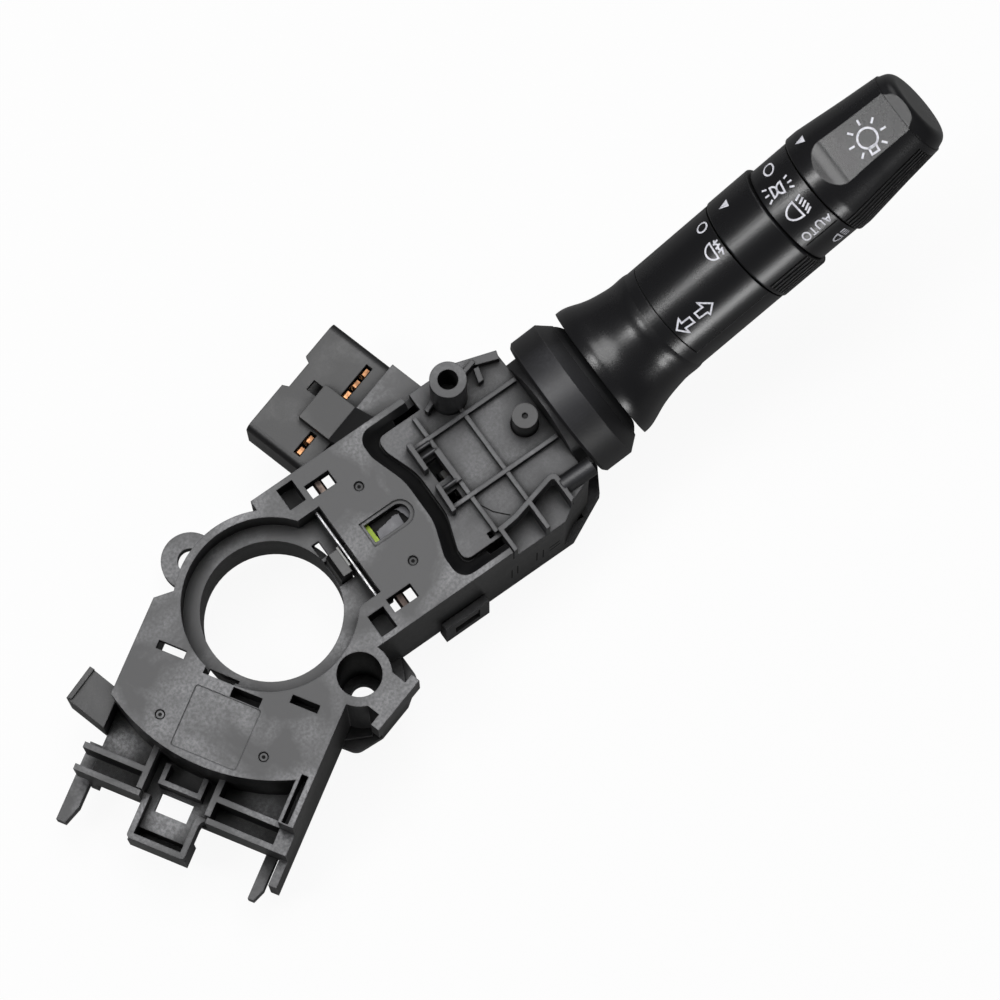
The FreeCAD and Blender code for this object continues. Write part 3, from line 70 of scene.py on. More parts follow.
def feed(tree, socket, value):
    if isinstance(value, bpy.types.NodeSocket):
        tree.links.new(value, socket)
    elif isinstance(value, tuple):
        socket.default_value = (*value, 1.0)
    else:
        socket.default_value = value


def combine(tree, operation, first, second):
    node = tree.nodes.new("ShaderNodeMath")
    node.operation = operation
    for socket, value in zip(node.inputs, (first, second)):
        feed(tree, socket, value)
    return node.outputs["Value"]


def blend_colour(tree, share, under, over):
    node = tree.nodes.new("ShaderNodeMix")
    node.data_type = "RGBA"
    under_colour, over_colour, blended_colour = node.inputs[6], node.inputs[7], node.outputs[2]
    tree.links.new(share, node.inputs["Factor"])
    feed(tree, under_colour, under)
    feed(tree, over_colour, over)
    return blended_colour


def white_share(tree, dim, white, camera_share, gloss_share):
    path = tree.nodes.new("ShaderNodeLightPath")
    seen = combine(tree, "MULTIPLY", path.outputs["Is Camera Ray"], camera_share)
    seen_through = combine(tree, "MULTIPLY", path.outputs["Is Transmission Ray"], camera_share)
    mirrored = combine(tree, "MULTIPLY", path.outputs["Is Glossy Ray"], gloss_share)
    share = combine(tree, "MAXIMUM", combine(tree, "MAXIMUM", seen, seen_through), mirrored)
    mix = tree.nodes.new("ShaderNodeMixShader")
    share_socket, dim_socket, white_socket = mix.inputs
    tree.links.new(share, share_socket)
    tree.links.new(dim, dim_socket)
    tree.links.new(white, white_socket)
    return mix.outputs["Shader"]


board_white = bpy.data.materials.new("board_white")
board_white.use_nodes = True
board_tree = board_white.node_tree
board_tree.nodes.clear()
board_out = board_tree.nodes.new("ShaderNodeOutputMaterial")
board_paint = board_tree.nodes.new("ShaderNodeBsdfDiffuse")
board_seen = board_tree.nodes.new("ShaderNodeLightPath").outputs["Is Camera Ray"]
board_tone = blend_colour(board_tree, board_seen, (0.18, 0.18, 0.18), (0.8, 0.8, 0.8))
board_tree.links.new(board_tone, board_paint.inputs["Color"])
board_glow = board_tree.nodes.new("ShaderNodeEmission")
board_glow.inputs["Strength"].default_value = 1.0
board_surface = white_share(board_tree, board_paint.outputs["BSDF"], board_glow.outputs["Emission"],
                            camera_share=0.93, gloss_share=0.05)
board_tree.links.new(board_surface, board_out.inputs["Surface"])
board_mesh.materials.append(board_white)


# Studio room and lamps. The room is dim; one box overhead is what flat faces
# mirror, a smaller one lights the thumb facet of the knob, two soften shadows.
studio_room = bpy.data.worlds.new("studio_room")
bpy.context.scene.world = studio_room
studio_room.use_nodes = True
room_tree = studio_room.node_tree
room_tree.nodes.clear()
room_out = room_tree.nodes.new("ShaderNodeOutputWorld")
room_dim = room_tree.nodes.new("ShaderNodeBackground")
room_dim.inputs["Strength"].default_value = 0.06
room_white = room_tree.nodes.new("ShaderNodeBackground")
room_white.inputs["Color"].default_value = (1.0, 1.0, 1.0, 1.0)
room_surface = white_share(room_tree, room_dim.outputs["Background"], room_white.outputs["Background"],
                           camera_share=1.0, gloss_share=0.08)
room_tree.links.new(room_surface, room_out.inputs["Surface"])
lamp_aim = Vector((0.051, -0.026, 0.02))


def soft_box(name, direction, distance, width, power):
    light = bpy.data.lights.new(name, "AREA")
    light.shape = "SQUARE"
    light.size = width
    light.energy = power
    lamp = bpy.data.objects.new(name, light)
    outward = Vector(direction).normalized()
    lamp.location = lamp_aim + outward * distance
    lamp.rotation_euler = (-outward).to_track_quat("-Z", "Y").to_euler()
    bpy.context.scene.collection.objects.link(lamp)


soft_box("overhead_box", (0.187, 0.148, 0.971), distance=1.17, width=0.72, power=9.5)
soft_box("knob_box", (-0.43, 0.31, 0.85), distance=1.2, width=0.32, power=4.6)
soft_box("far_fill_box", (0.75, 0.5, 0.42), distance=1.3, width=0.6, power=1.2)
soft_box("low_side_box", (-0.54, -0.83, 0.04), distance=1.1, width=0.36, power=5.0)


# Housing of the column ring and the lever side. One moulding in black nylon
# with glass fibre: matt, with pale clouds where the melt met round the holes.
def shader_group(name, inputs, outputs):
    group = bpy.data.node_groups.new(name, "ShaderNodeTree")
    for label, kind, value in inputs:
        socket = group.interface.new_socket(name=label, in_out="INPUT", socket_type="NodeSocket" + kind)
        socket.default_value = value
    for label, kind in outputs:
        group.interface.new_socket(name=label, in_out="OUTPUT", socket_type="NodeSocket" + kind)
    return group, group.nodes.new("NodeGroupInput"), group.nodes.new("NodeGroupOutput")


def noise(tree, place, scale, detail):
    node = tree.nodes.new("ShaderNodeTexNoise")
    feed(tree, node.inputs["Scale"], scale)
    node.inputs["Detail"].default_value = detail
    tree.links.new(place, node.inputs["Vector"])
    return node


def window(tree, value, low, high):
    node = tree.nodes.new("ShaderNodeMapRange")
    node.inputs["From Min"].default_value = low
    node.inputs["From Max"].default_value = high
    tree.links.new(value, node.inputs["Value"])
    return node.outputs["Result"]


# Pale fibre clouds: broad drifts where the skin is thin, broken by fine specks.
fibre_clouds, given, result = shader_group(
    "fibre_clouds",
    [("Drift Scale", "Float", 45.0), ("Speck Scale", "Float", 1400.0), ("Reach", "Float", 0.5)],
    [("Mask", "Float"), ("Roughness Shift", "Float")])
speck_floor = 0.45
cloud_polish = 0.12
place = fibre_clouds.nodes.new("ShaderNodeTexCoord").outputs["Object"]
drift = noise(fibre_clouds, place, given.outputs["Drift Scale"], detail=5.0)
drift.inputs["Distortion"].default_value = 0.6
speck = noise(fibre_clouds, place, given.outputs["Speck Scale"], detail=2.0)
thin_skin = window(fibre_clouds, drift.outputs["Fac"], low=0.44, high=0.66)
specks = window(fibre_clouds, speck.outputs["Fac"], low=0.35, high=0.7)
raised_specks = combine(fibre_clouds, "ADD", specks, speck_floor)
mottled = combine(fibre_clouds, "MULTIPLY", thin_skin, raised_specks)
reached = combine(fibre_clouds, "MULTIPLY", mottled, given.outputs["Reach"])
fibre_clouds.links.new(reached, result.inputs["Mask"])
polished = combine(fibre_clouds, "MULTIPLY", reached, cloud_polish)
fibre_clouds.links.new(polished, result.inputs["Roughness Shift"])


# Moulded grain with the small rounding that every moulded edge has, and masks
# for a painted highlight on convex edges and for painted shade in concave
# corners, in deep hollows and on faces that don't look upwards.
def open_share(tree, reach, low, high):
    shelter = tree.nodes.new("ShaderNodeAmbientOcclusion")
    shelter.samples = 6
    shelter.inputs["Distance"].default_value = reach
    return window(tree, shelter.outputs["AO"], low, high)


moulded_grain, given, result = shader_group(
    "moulded_grain",
    [("Grain Scale", "Float", 2500.0), ("Grain Depth", "Float", 0.00002), ("Edge Radius", "Float", 0.0003)],
    [("Normal", "Vector"), ("Edge", "Float"), ("Corner", "Float"), ("Level", "Float"), ("Depth", "Float")])
corner_reach = 0.0011
hollow_reach = 0.006
edge_gain = 4.0
place = moulded_grain.nodes.new("ShaderNodeTexCoord").outputs["Object"]
grain = noise(moulded_grain, place, given.outputs["Grain Scale"], detail=3.0)
rounding = moulded_grain.nodes.new("ShaderNodeBevel")
moulded_grain.links.new(given.outputs["Edge Radius"], rounding.inputs["Radius"])
relief = moulded_grain.nodes.new("ShaderNodeBump")
moulded_grain.links.new(given.outputs["Grain Depth"], relief.inputs["Distance"])
moulded_grain.links.new(grain.outputs["Fac"], relief.inputs["Height"])
moulded_grain.links.new(rounding.outputs["Normal"], relief.inputs["Normal"])
moulded_grain.links.new(relief.outputs["Normal"], result.inputs["Normal"])
facing = moulded_grain.nodes.new("ShaderNodeNewGeometry")
bend = moulded_grain.nodes.new("ShaderNodeVectorMath")
bend.operation = "DOT_PRODUCT"
for socket, normal in zip(bend.inputs, (rounding.outputs["Normal"], facing.outputs["Normal"])):
    moulded_grain.links.new(normal, socket)
# Bend of the rounded normal from the true one; with the open corners it masks convex edges for a painted
# highlight.
edge_bend = combine(moulded_grain, "SUBTRACT", 1.0, bend.outputs["Value"])
# Occlusion within about a millimetre: masks concave corners for painted shade.
open_corner = open_share(moulded_grain, corner_reach, low=0.25, high=0.85)
moulded_grain.links.new(open_corner, result.inputs["Corner"])
# Occlusion within 6 mm: masks deep hollows for painted shade.
open_hollow = open_share(moulded_grain, hollow_reach, low=0.45, high=0.8)
moulded_grain.links.new(open_hollow, result.inputs["Depth"])
# Faces that look upwards; the other faces get painted shade.
upright = moulded_grain.nodes.new("ShaderNodeSeparateXYZ")
moulded_grain.links.new(facing.outputs["True Normal"], upright.inputs["Vector"])
level_face = window(moulded_grain, upright.outputs["Z"], low=0.75, high=0.97)
moulded_grain.links.new(level_face, result.inputs["Level"])
edge_highlight_mask = combine(moulded_grain, "MULTIPLY", combine(moulded_grain, "MULTIPLY", edge_bend, edge_gain), open_corner)
moulded_grain.links.new(edge_highlight_mask, result.inputs["Edge"])


def moulded_plastic(name, colour, bloom, roughness, reach=0.6, drift_scale=45.0, grain_scale=2500.0,
                    grain_depth=0.00002, edge_highlight=0.8, wall_shade=0.3, hollow_shade=0.5):
    corner_shade_tone = 0.15
    edge_share, edge_lift = 0.6, 0.035
    dust_roughness = 0.3
    skin = bpy.data.materials.new(name)
    skin.use_nodes = True
    tree = skin.node_tree
    shader = tree.nodes["Principled BSDF"]
    clouds = tree.nodes.new("ShaderNodeGroup")
    clouds.node_tree = fibre_clouds
    clouds.inputs["Drift Scale"].default_value = drift_scale
    clouds.inputs["Reach"].default_value = reach
    form = tree.nodes.new("ShaderNodeGroup")
    form.node_tree = moulded_grain
    form.inputs["Grain Scale"].default_value = grain_scale
    form.inputs["Grain Depth"].default_value = grain_depth
    body_colour = blend_colour(tree, clouds.outputs["Mask"], colour, bloom)
    # Painted shade: faces that don't look upwards, such as walls, are darkened to a share of the colour.
    wall_shade_colour = tuple(channel * wall_shade for channel in colour)
    # Painted shade: faces deep in hollows are darkened further.
    hollow_shade_colour = tuple(channel * hollow_shade for channel in wall_shade_colour)
    # Painted shade: concave corners and creases are darkened to a small fraction of the colour.
    corner_shade_colour = tuple(channel * corner_shade_tone for channel in colour)
    # Painted highlight: convex edges get a paler colour, lifted from the bloom colour.
    edge_highlight_colour = tuple(edge_share * channel + edge_lift for channel in bloom)
    wall_shaded = blend_colour(tree, form.outputs["Level"], wall_shade_colour, body_colour)
    hollow_shaded = blend_colour(tree, form.outputs["Depth"], hollow_shade_colour, wall_shaded)
    corner_shaded = blend_colour(tree, form.outputs["Corner"], corner_shade_colour, hollow_shaded)
    highlight_share = combine(tree, "MULTIPLY", form.outputs["Edge"], edge_highlight)
    tree.links.new(blend_colour(tree, highlight_share, corner_shaded, edge_highlight_colour), shader.inputs["Base Color"])
    polished = combine(tree, "SUBTRACT", roughness, clouds.outputs["Roughness Shift"])
    sheltered = combine(tree, "SUBTRACT", 1.0, form.outputs["Depth"])
    dusty = combine(tree, "MULTIPLY", sheltered, dust_roughness)
    tree.links.new(combine(tree, "ADD", polished, dusty), shader.inputs["Roughness"])
    tree.links.new(form.outputs["Normal"], shader.inputs["Normal"])
    return skin


def finish(material, *names):
    for name in names:
        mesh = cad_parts[name].data
        mesh.materials.clear()
        mesh.materials.append(material)


housing_plastic = moulded_plastic("housing_plastic", (0.024, 0.024, 0.026), (0.17, 0.17, 0.18), 0.42,
                                  reach=0.8, grain_depth=0.000012)
finish(housing_plastic, "column_body")


# Covers and stalk collar. The same nylon in a closer, evenly sparked skin,
# clipped or screwed to the housing, with fewer pale clouds than the plate.
cover_plastic = moulded_plastic("cover_plastic", (0.026, 0.026, 0.029), (0.075, 0.075, 0.082), 0.43,
                                reach=0.6, drift_scale=70.0, grain_scale=1900.0, grain_depth=0.000015)
finish(cover_plastic, "switch_cover", "lower_cover", "stalk_collar")


# Connector block, its lock and the wiring clip. A softer black polyester,
# pressed into the bracket, with a painted highlight on its long rounded edges.
connector_plastic = moulded_plastic("connector_plastic", (0.017, 0.017, 0.018), (0.035, 0.034, 0.035), 0.44,
                                    reach=0.4, drift_scale=90.0, grain_scale=2200.0)
finish(connector_plastic, "connector_block", "connector_lock", "harness_clip")


# Lever grip, symbol band and end cap. Fine leather-like spark grain that a
# hand has begun to polish; the grip is one turned moulding with a long flare.
stalk_plastic = moulded_plastic("stalk_plastic", (0.006, 0.006, 0.007), (0.01, 0.01, 0.011), 0.3,
                                reach=0.3, grain_scale=1700.0, edge_highlight=0.15, wall_shade=1.0)
finish(stalk_plastic, "stalk_grip", "symbol_band", "knob_cap")


# Turning rings and the label panel. The same black as the grip in a closer
# skin with more sheen; the rings turn round the lever's core.
ring_plastic = moulded_plastic("ring_plastic", (0.006, 0.006, 0.007), (0.01, 0.01, 0.011), 0.28,
                               reach=0.3, grain_scale=2600.0, grain_depth=0.000012, edge_highlight=0.2, wall_shade=1.0)
finish(ring_plastic, "label_panel", "fog_ring", "light_knob")


# Working parts of acetal: the pawl and the lever's core are black, the slider,
# its block and the plunger are plain grey, both slippery and slightly waxy.
pawl_plastic = moulded_plastic("pawl_plastic", (0.02, 0.02, 0.02), (0.032, 0.032, 0.032), 0.38, reach=0.3)
finish(pawl_plastic, "cancel_pawl", "lever_core", "knob_shaft")
grey_plastic = moulded_plastic("grey_plastic", (0.24, 0.24, 0.23), (0.3, 0.3, 0.29), 0.36, reach=0.5,
                               edge_highlight=0.1)
finish(grey_plastic, "turn_slider", "cancel_block", "detent_plunger")
carrier_plastic = moulded_plastic("carrier_plastic", (0.03, 0.03, 0.031), (0.05, 0.05, 0.052), 0.45,
                                  reach=0.4)
finish(carrier_plastic, "contact_carrier", "swing_carrier")


# Lime bed under the D-shaped window, and the laminate board that it sits on.
# The bed is moulded in one piece; the board is cut from bare fibre sheet.
lime_plastic = moulded_plastic("lime_plastic", (0.42, 0.56, 0.03), (0.62, 0.72, 0.12), 0.4, reach=0.8,
                               drift_scale=260.0, edge_highlight=0.1)
finish(lime_plastic, "window_bed")
board_laminate = moulded_plastic("board_laminate", (0.23, 0.2, 0.12), (0.34, 0.31, 0.2), 0.45, reach=0.8,
                                 drift_scale=150.0, edge_highlight=0.1)
finish(board_laminate, "contact_board")


# Metal pieces. Tinned brass blades, turned steel pins, spring wire, bronze bars
# and zinc-plated screws, each with drawn scratches and a trace of tarnish.
tarnish, given, result = shader_group(
    "tarnish",
    [("Patch Scale", "Float", 400.0), ("Stretch", "Vector", (1.0, 1.0, 6.0))],
    [("Mask", "Float"), ("Roughness", "Float")])
tarnish_roughness = 0.3
place = tarnish.nodes.new("ShaderNodeTexCoord").outputs["Object"]
drawn = tarnish.nodes.new("ShaderNodeVectorMath")
drawn.operation = "MULTIPLY"
for socket, value in zip(drawn.inputs, (place, given.outputs["Stretch"])):
    tarnish.links.new(value, socket)
patches = noise(tarnish, drawn.outputs["Vector"], given.outputs["Patch Scale"], detail=4.0)
tarnished = window(tarnish, patches.outputs["Fac"], low=0.35, high=0.75)
tarnish.links.new(tarnished, result.inputs["Mask"])
tarnish.links.new(combine(tarnish, "MULTIPLY", tarnished, tarnish_roughness), result.inputs["Roughness"])


def worked_metal(name, colour, dull, roughness):
    skin = bpy.data.materials.new(name)
    skin.use_nodes = True
    tree = skin.node_tree
    shader = tree.nodes["Principled BSDF"]
    shader.inputs["Metallic"].default_value = 1.0
    film = tree.nodes.new("ShaderNodeGroup")
    film.node_tree = tarnish
    form = tree.nodes.new("ShaderNodeGroup")
    form.node_tree = moulded_grain
    form.inputs["Grain Depth"].default_value = 0.000008
    form.inputs["Edge Radius"].default_value = 0.00015
    tree.links.new(blend_colour(tree, film.outputs["Mask"], colour, dull), shader.inputs["Base Color"])
    tree.links.new(combine(tree, "ADD", film.outputs["Roughness"], roughness), shader.inputs["Roughness"])
    tree.links.new(form.outputs["Normal"], shader.inputs["Normal"])
    return skin


terminals = [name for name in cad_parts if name.startswith("terminal_")]
terminal_brass = worked_metal("terminal_brass", (0.5, 0.25, 0.12), (0.22, 0.11, 0.06), 0.35)
finish(terminal_brass, *terminals)
rod_steel = worked_metal("rod_steel", (0.35, 0.35, 0.35), (0.2, 0.2, 0.21), 0.25)
finish(rod_steel, "cancel_rod", "cross_pin")
spring_steel = worked_metal("spring_steel", (0.5, 0.5, 0.5), (0.32, 0.32, 0.33), 0.28)
finish(spring_steel, "detent_spring", "flash_spring")
bar_bronze = worked_metal("bar_bronze", (0.09, 0.07, 0.06), (0.03, 0.025, 0.025), 0.4)
finish(bar_bronze, "upper_bar", "lower_bar")
screw_steel = worked_metal("screw_steel", (0.42, 0.42, 0.44), (0.28, 0.28, 0.3), 0.35)
finish(screw_steel, "cover_screws")


# Closing pieces of the housing, moulded with it: the ball nose that fills the
# collar's mouth round the lever, and two thin floor webs beside the deep boss.
millimetre = 0.001
lever_pivot = Vector((0.069157, -0.018582, 0.016))
level_along = Vector((0.96126, -0.27564, 0.0))
lever_across = Vector((0.27564, 0.96126, 0.0))
straight_up = Vector((0.0, 0.0, 1.0))
lever_rise = math.radians(27.0)
lever_axis = level_along * math.cos(lever_rise) + straight_up * math.sin(lever_rise)
lever_upward = straight_up * math.cos(lever_rise) - level_along * math.sin(lever_rise)
collar_rise = math.radians(13.0)
collar_axis = level_along * math.cos(collar_rise) + straight_up * math.sin(collar_rise)
collar_upward = straight_up * math.cos(collar_rise) - level_along * math.sin(collar_rise)
collar_reach = 15.0
collar_centre = lever_pivot + lever_axis * collar_reach * millimetre


def made_of(name, shape, material, body):
    bmesh.ops.recalc_face_normals(shape, faces=shape.faces)
    mesh = bpy.data.meshes.new(name)
    shape.to_mesh(mesh)
    shape.free()
    mesh.materials.append(material)
    piece = bpy.data.objects.new(name, mesh)
    bpy.context.scene.collection.objects.link(piece)
    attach(piece, body)


nose_profile = [(6.3, 15.7), (7.4, 15.0), (8.3, 14.2), (9.0, 13.3), (8.8, 12.8), (7.6, 13.6), (6.3, 14.7)]
nose_foot = 6.3
nose_reach = math.radians(92.0)
nose_full = math.radians(42.0)
nose_shortening = 0.35
nose_steps = 48
nose = bmesh.new()
sections = []
for step in range(nose_steps + 1):
    turn = -nose_reach + 2.0 * nose_reach * step / nose_steps
    shorter = 1.0 - nose_shortening * max(0.0, abs(turn) - nose_full) / (nose_reach - nose_full)
    outward = collar_upward * math.cos(turn) + lever_across * math.sin(turn)
    sections.append([nose.verts.new(collar_centre + (collar_axis * (nose_foot + (along - nose_foot) * shorter)
                                                     + outward * radius) * millimetre)
                     for along, radius in nose_profile])
for first, second in zip(sections, sections[1:]):
    for corner in range(len(nose_profile)):
        following = (corner + 1) % len(nose_profile)
        nose.faces.new((first[corner], first[following], second[following], second[corner]))
nose.faces.new(sections[0])
nose.faces.new(sections[-1])
made_of("collar_nose", nose, cover_plastic, "switch_body")


def flat_plate(name, outline, low, high, material):
    plate = bmesh.new()
    floor = [plate.verts.new((x * millimetre, y * millimetre, low * millimetre)) for x, y in outline]
    roof = [plate.verts.new((x * millimetre, y * millimetre, high * millimetre)) for x, y in outline]
    plate.faces.new(floor)
    plate.faces.new(roof)
    for corner in range(len(outline)):
        following = (corner + 1) % len(outline)
        plate.faces.new((floor[corner], floor[following], roof[following], roof[corner]))
    made_of(name, plate, material, "switch_body")


web_low = 2.2
web_high = 3.4
housing_web = [(8.2, -25.4), (13.6, -25.8), (9.0, -31.2), (8.0, -30.6)]
wiper_web = [(-11.2, -28.4), (-7.6, -27.2), (-4.4, -32.6), (-5.8, -33.4)]
flat_plate("boss_web_housing", housing_web, web_low, web_high, housing_plastic)
flat_plate("boss_web_wiper", wiper_web, web_low, web_high, housing_plastic)


# D-shaped window. Lime contact grease has crept to its two ends, and a torn
# grey film lies between them over the hollow above the slider, whose shade is
# painted by a near-black sheet beneath them.
housing_turn = math.radians(-16.0)
housing_along = Vector((math.cos(housing_turn), math.sin(housing_turn), 0.0))
housing_across = Vector((-math.sin(housing_turn), math.cos(housing_turn), 0.0))
torn = random.Random(7)


def on_housing_plan(points):
    return [tuple((housing_along * x + housing_across * y)[:2]) for x, y in points]


def torn_shift(depth):
    return Vector((torn.uniform(-depth, depth), torn.uniform(-depth, depth)))


def torn_edge(points, depth, pieces=5):
    ragged = []
    for start, end in zip(points, points[1:] + points[:1]):
        start, end = Vector(start), Vector(end)
        for count in range(pieces):
            ragged.append(tuple(start.lerp(end, count / pieces) + torn_shift(depth)))
    return ragged


def arc_points(centre, radius, first, last, steps=12):
    turns = [math.radians(first + (last - first) * count / steps) for count in range(steps + 1)]
    return [(centre[0] + radius * math.cos(turn), centre[1] + radius * math.sin(turn)) for turn in turns]


shade_low, shade_high = 25.6, 25.8
near_grease_high, far_grease_high = 27.1, 26.9
wide_film_low, wide_film_high = 26.9, 27.05
tip_film_low, tip_film_high = 26.95, 27.1
window_centre = (38.3, 0.3)
window_radius, grease_radius, bare_radius = 2.5, 2.35, 1.5
# Painted shade: a near-black sheet stands for the shade in the hollow under the window.
painted_shade_black = moulded_plastic("painted_shade_black", (0.006, 0.006, 0.006), (0.02, 0.02, 0.02), 0.6, wall_shade=1.0,
                              edge_highlight=0.1)
window_outline = [(27.6, -2.2)] + arc_points(window_centre, window_radius, -90, 90) + [(27.6, 2.8)]
flat_plate("window_painted_shade", on_housing_plan(window_outline), shade_low, shade_high, painted_shade_black)
lime_grease = moulded_plastic("lime_grease", (0.36, 0.52, 0.008), (0.62, 0.76, 0.05), 0.3, reach=1.0,
                              drift_scale=500.0, wall_shade=1.0, hollow_shade=1.0, edge_highlight=0.1)
near_smear = torn_edge([(27.7, -2.0), (29.1, -2.0), (28.9, 2.6), (27.7, 2.6)], depth=0.08)
flat_plate("grease_near_end", on_housing_plan(near_smear), shade_high, near_grease_high, lime_grease)
outer_rim = arc_points(window_centre, grease_radius, -70, 95)
inner_rim = arc_points((37.9, 0.3), bare_radius, 95, -60)
inner_smear = [tuple(Vector(point) + torn_shift(0.15)) for point in inner_rim]
flat_plate("grease_far_end", on_housing_plan(outer_rim + inner_smear), shade_high, far_grease_high,
           lime_grease)
film_grey = moulded_plastic("film_grey", (0.11, 0.11, 0.12), (0.2, 0.2, 0.215), 0.4, drift_scale=300.0,
                            wall_shade=1.0, hollow_shade=1.0)
wide_film = torn_edge([(29.3, -1.9), (35.9, -1.9), (36.1, 0.9), (34.6, 1.3), (31.8, 0.7), (29.5, 0.4)],
                      depth=0.13)
flat_plate("torn_film_wide", on_housing_plan(wide_film), wide_film_low, wide_film_high, film_grey)
tip_film = torn_edge([(35.9, 2.4), (37.6, 2.0), (39.0, 1.0), (38.2, -0.9), (37.5, -1.8), (37.0, 0.3)],
                     depth=0.12, pieces=4)
flat_plate("torn_film_tip", on_housing_plan(tip_film), tip_film_low, tip_film_high, film_grey)


# Printed signs of the lever. White ink pad-printed on the band, the panel and
# the rings; each sign is a film a few hundredths of a millimetre thick.
ink_thickness = 0.00004
ink_step = 0.4
outside_lever = 0.04
film_clearance = 0.00001
weld_distance = 0.000005
longest_mitre = 0.5

print_white = bpy.data.materials.new("print_white")
print_white.use_nodes = True
print_tree = print_white.node_tree
print_shader = print_tree.nodes["Principled BSDF"]
print_shader.inputs["Roughness"].default_value = 0.5
print_place = print_tree.nodes.new("ShaderNodeTexCoord").outputs["Object"]
print_wear = noise(print_tree, print_place, 1500.0, detail=3.0).outputs["Fac"]
print_cover = window(print_tree, print_wear, low=0.3, high=0.6)
print_colour = blend_colour(print_tree, print_cover, (0.5, 0.5, 0.55), (0.8, 0.8, 0.86))
print_tree.links.new(print_colour, print_shader.inputs["Base Color"])


def on_barrel(radius):
    def spot(along, arc):
        angle = arc / radius
        outward = lever_upward * math.cos(angle) + lever_across * math.sin(angle)
        start = lever_pivot + lever_axis * along * millimetre + outward * outside_lever
        return start, -outward
    return spot


def on_facet(along, sideways):
    level = lever_pivot + (lever_axis * along + lever_across * sideways) * millimetre
    return level + lever_upward * outside_lever, -lever_upward


def seat_of(node):
    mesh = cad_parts[node].data
    faces = [face.vertices for face in mesh.polygons]
    return BVHTree.FromPolygons([corner.co for corner in mesh.vertices], faces)


def stroke_faces(points, width, closed):
    corners = [Vector(point) for point in points]
    if closed:
        corners.append(corners[0])
    line = [corners[0]]
    for start, end in zip(corners, corners[1:]):
        pieces = max(1, math.ceil((end - start).length / ink_step))
        line += [start.lerp(end, count / pieces) for count in range(1, pieces + 1)]
    edges = []
    for place, point in enumerate(line):
        before = line[place - 1] if place else (line[-2] if closed else point)
        after = line[place + 1] if place + 1 < len(line) else (line[1] if closed else point)
        ways = [way.normalized() for way in (point - before, after - point) if way.length > 0.0]
        way = sum(ways, Vector((0.0, 0.0))).normalized()
        spread = 0.5 * width / max(longest_mitre, abs(way.dot(ways[0])))
        side = Vector((-way.y, way.x)) * spread
        edges.append((point + side, point - side))
    return [(first[0], first[1], second[1], second[0]) for first, second in zip(edges, edges[1:])]


def filled_faces(points):
    corners = [Vector(point) for point in points]
    middle = sum(corners, Vector((0.0, 0.0))) / len(corners)
    rings = 4
    faces = []
    for start, end in zip(corners, corners[1:] + corners[:1]):
        for ring in range(rings):
            near, far = ring / rings, (ring + 1) / rings
            inner = (middle.lerp(start, near), middle.lerp(end, near))
            outer = (middle.lerp(start, far), middle.lerp(end, far))
            faces.append((inner[0], outer[0], outer[1], inner[1]) if ring else (middle, outer[0], outer[1]))
    return faces


def laid_film(name, faces, node, spot, material, body, thickness=ink_thickness):
    seat = seat_of(node)
    film = bmesh.new()
    for face in faces:
        corners = []
        for point in face:
            start, inward = spot(point.x, point.y)
            hit = seat.ray_cast(start, inward)[0]
            corners.append(film.verts.new(hit - inward * (thickness + film_clearance)))
        film.faces.new(corners)
    bmesh.ops.remove_doubles(film, verts=film.verts, dist=weld_distance)
    bmesh.ops.recalc_face_normals(film, faces=film.faces)
    sheet = bpy.data.meshes.new(name)
    film.to_mesh(sheet)
    film.free()
    sheet.materials.append(material)
    sign = bpy.data.objects.new(name, sheet)
    bpy.context.scene.collection.objects.link(sign)
    coat = sign.modifiers.new("ink", "SOLIDIFY")
    coat.thickness = thickness
    coat.offset = 0.0
    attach(sign, body)


def lines(strokes, width):
    return [face for points, closed in strokes for face in stroke_faces(points, width, closed)]


def oval(centre, half_along, half_arc, steps=20):
    turns = [2.0 * math.pi * count / steps for count in range(steps)]
    return [(centre[0] + half_along * math.cos(turn), centre[1] + half_arc * math.sin(turn))
            for turn in turns]


def half_round(start, end, depth, steps=10):
    start, end = Vector(start), Vector(end)
    middle, half = (start + end) / 2.0, (end - start) / 2.0
    outward = Vector((half.y, -half.x)).normalized() * depth
    turns = [math.pi * count / steps for count in range(steps + 1)]
    return [tuple(middle - half * math.cos(turn) + outward * math.sin(turn)) for turn in turns]


# Symbol band: off ring, side lamps, headlamp, the word AUTO and high beam.
on_band = on_barrel(radius=12.5)
side_lamp_a = half_round((87.4, 4.4), (87.1, 1.6), depth=1.5)
side_lamp_b = half_round((84.6, 4.8), (84.4, 2.1), depth=-1.4)
headlamp = half_round((86.9, -1.2), (87.1, -5.2), depth=3.1)
band_rays = [
    ((88.5, 4.3), (89.5, 4.6)), ((88.7, 2.9), (89.8, 2.8)), ((88.6, 1.8), (89.6, 1.2)),
    ((83.8, 5.0), (82.7, 5.5)), ((83.7, 3.5), (82.6, 3.6)), ((83.7, 2.1), (82.7, 1.6)),
    ((87.8, -1.5), (89.4, -0.9)), ((88.0, -2.6), (89.5, -1.9)), ((88.1, -3.5), (89.6, -2.8)),
    ((88.1, -4.5), (89.7, -3.7)), ((87.9, -5.3), (89.5, -4.6))]
band_lines = [(oval((86.4, 9.6), 1.3, 1.9), True), (side_lamp_a, True), (side_lamp_b, True), (headlamp, True)]
band_lines += [(ray, False) for ray in band_rays]
laid_film("band_signs", lines(band_lines, width=0.45), "symbol_band", on_band, print_white, "lever")
letter_a = [((89.6, -8.4), (90.3, -10.4)), ((90.3, -10.4), (91.2, -8.4)), ((89.9, -9.1), (90.9, -9.1))]
letter_u = [((88.9, -10.3), (88.9, -8.7), (88.5, -8.2), (87.8, -8.2), (87.4, -8.7), (87.4, -10.3))]
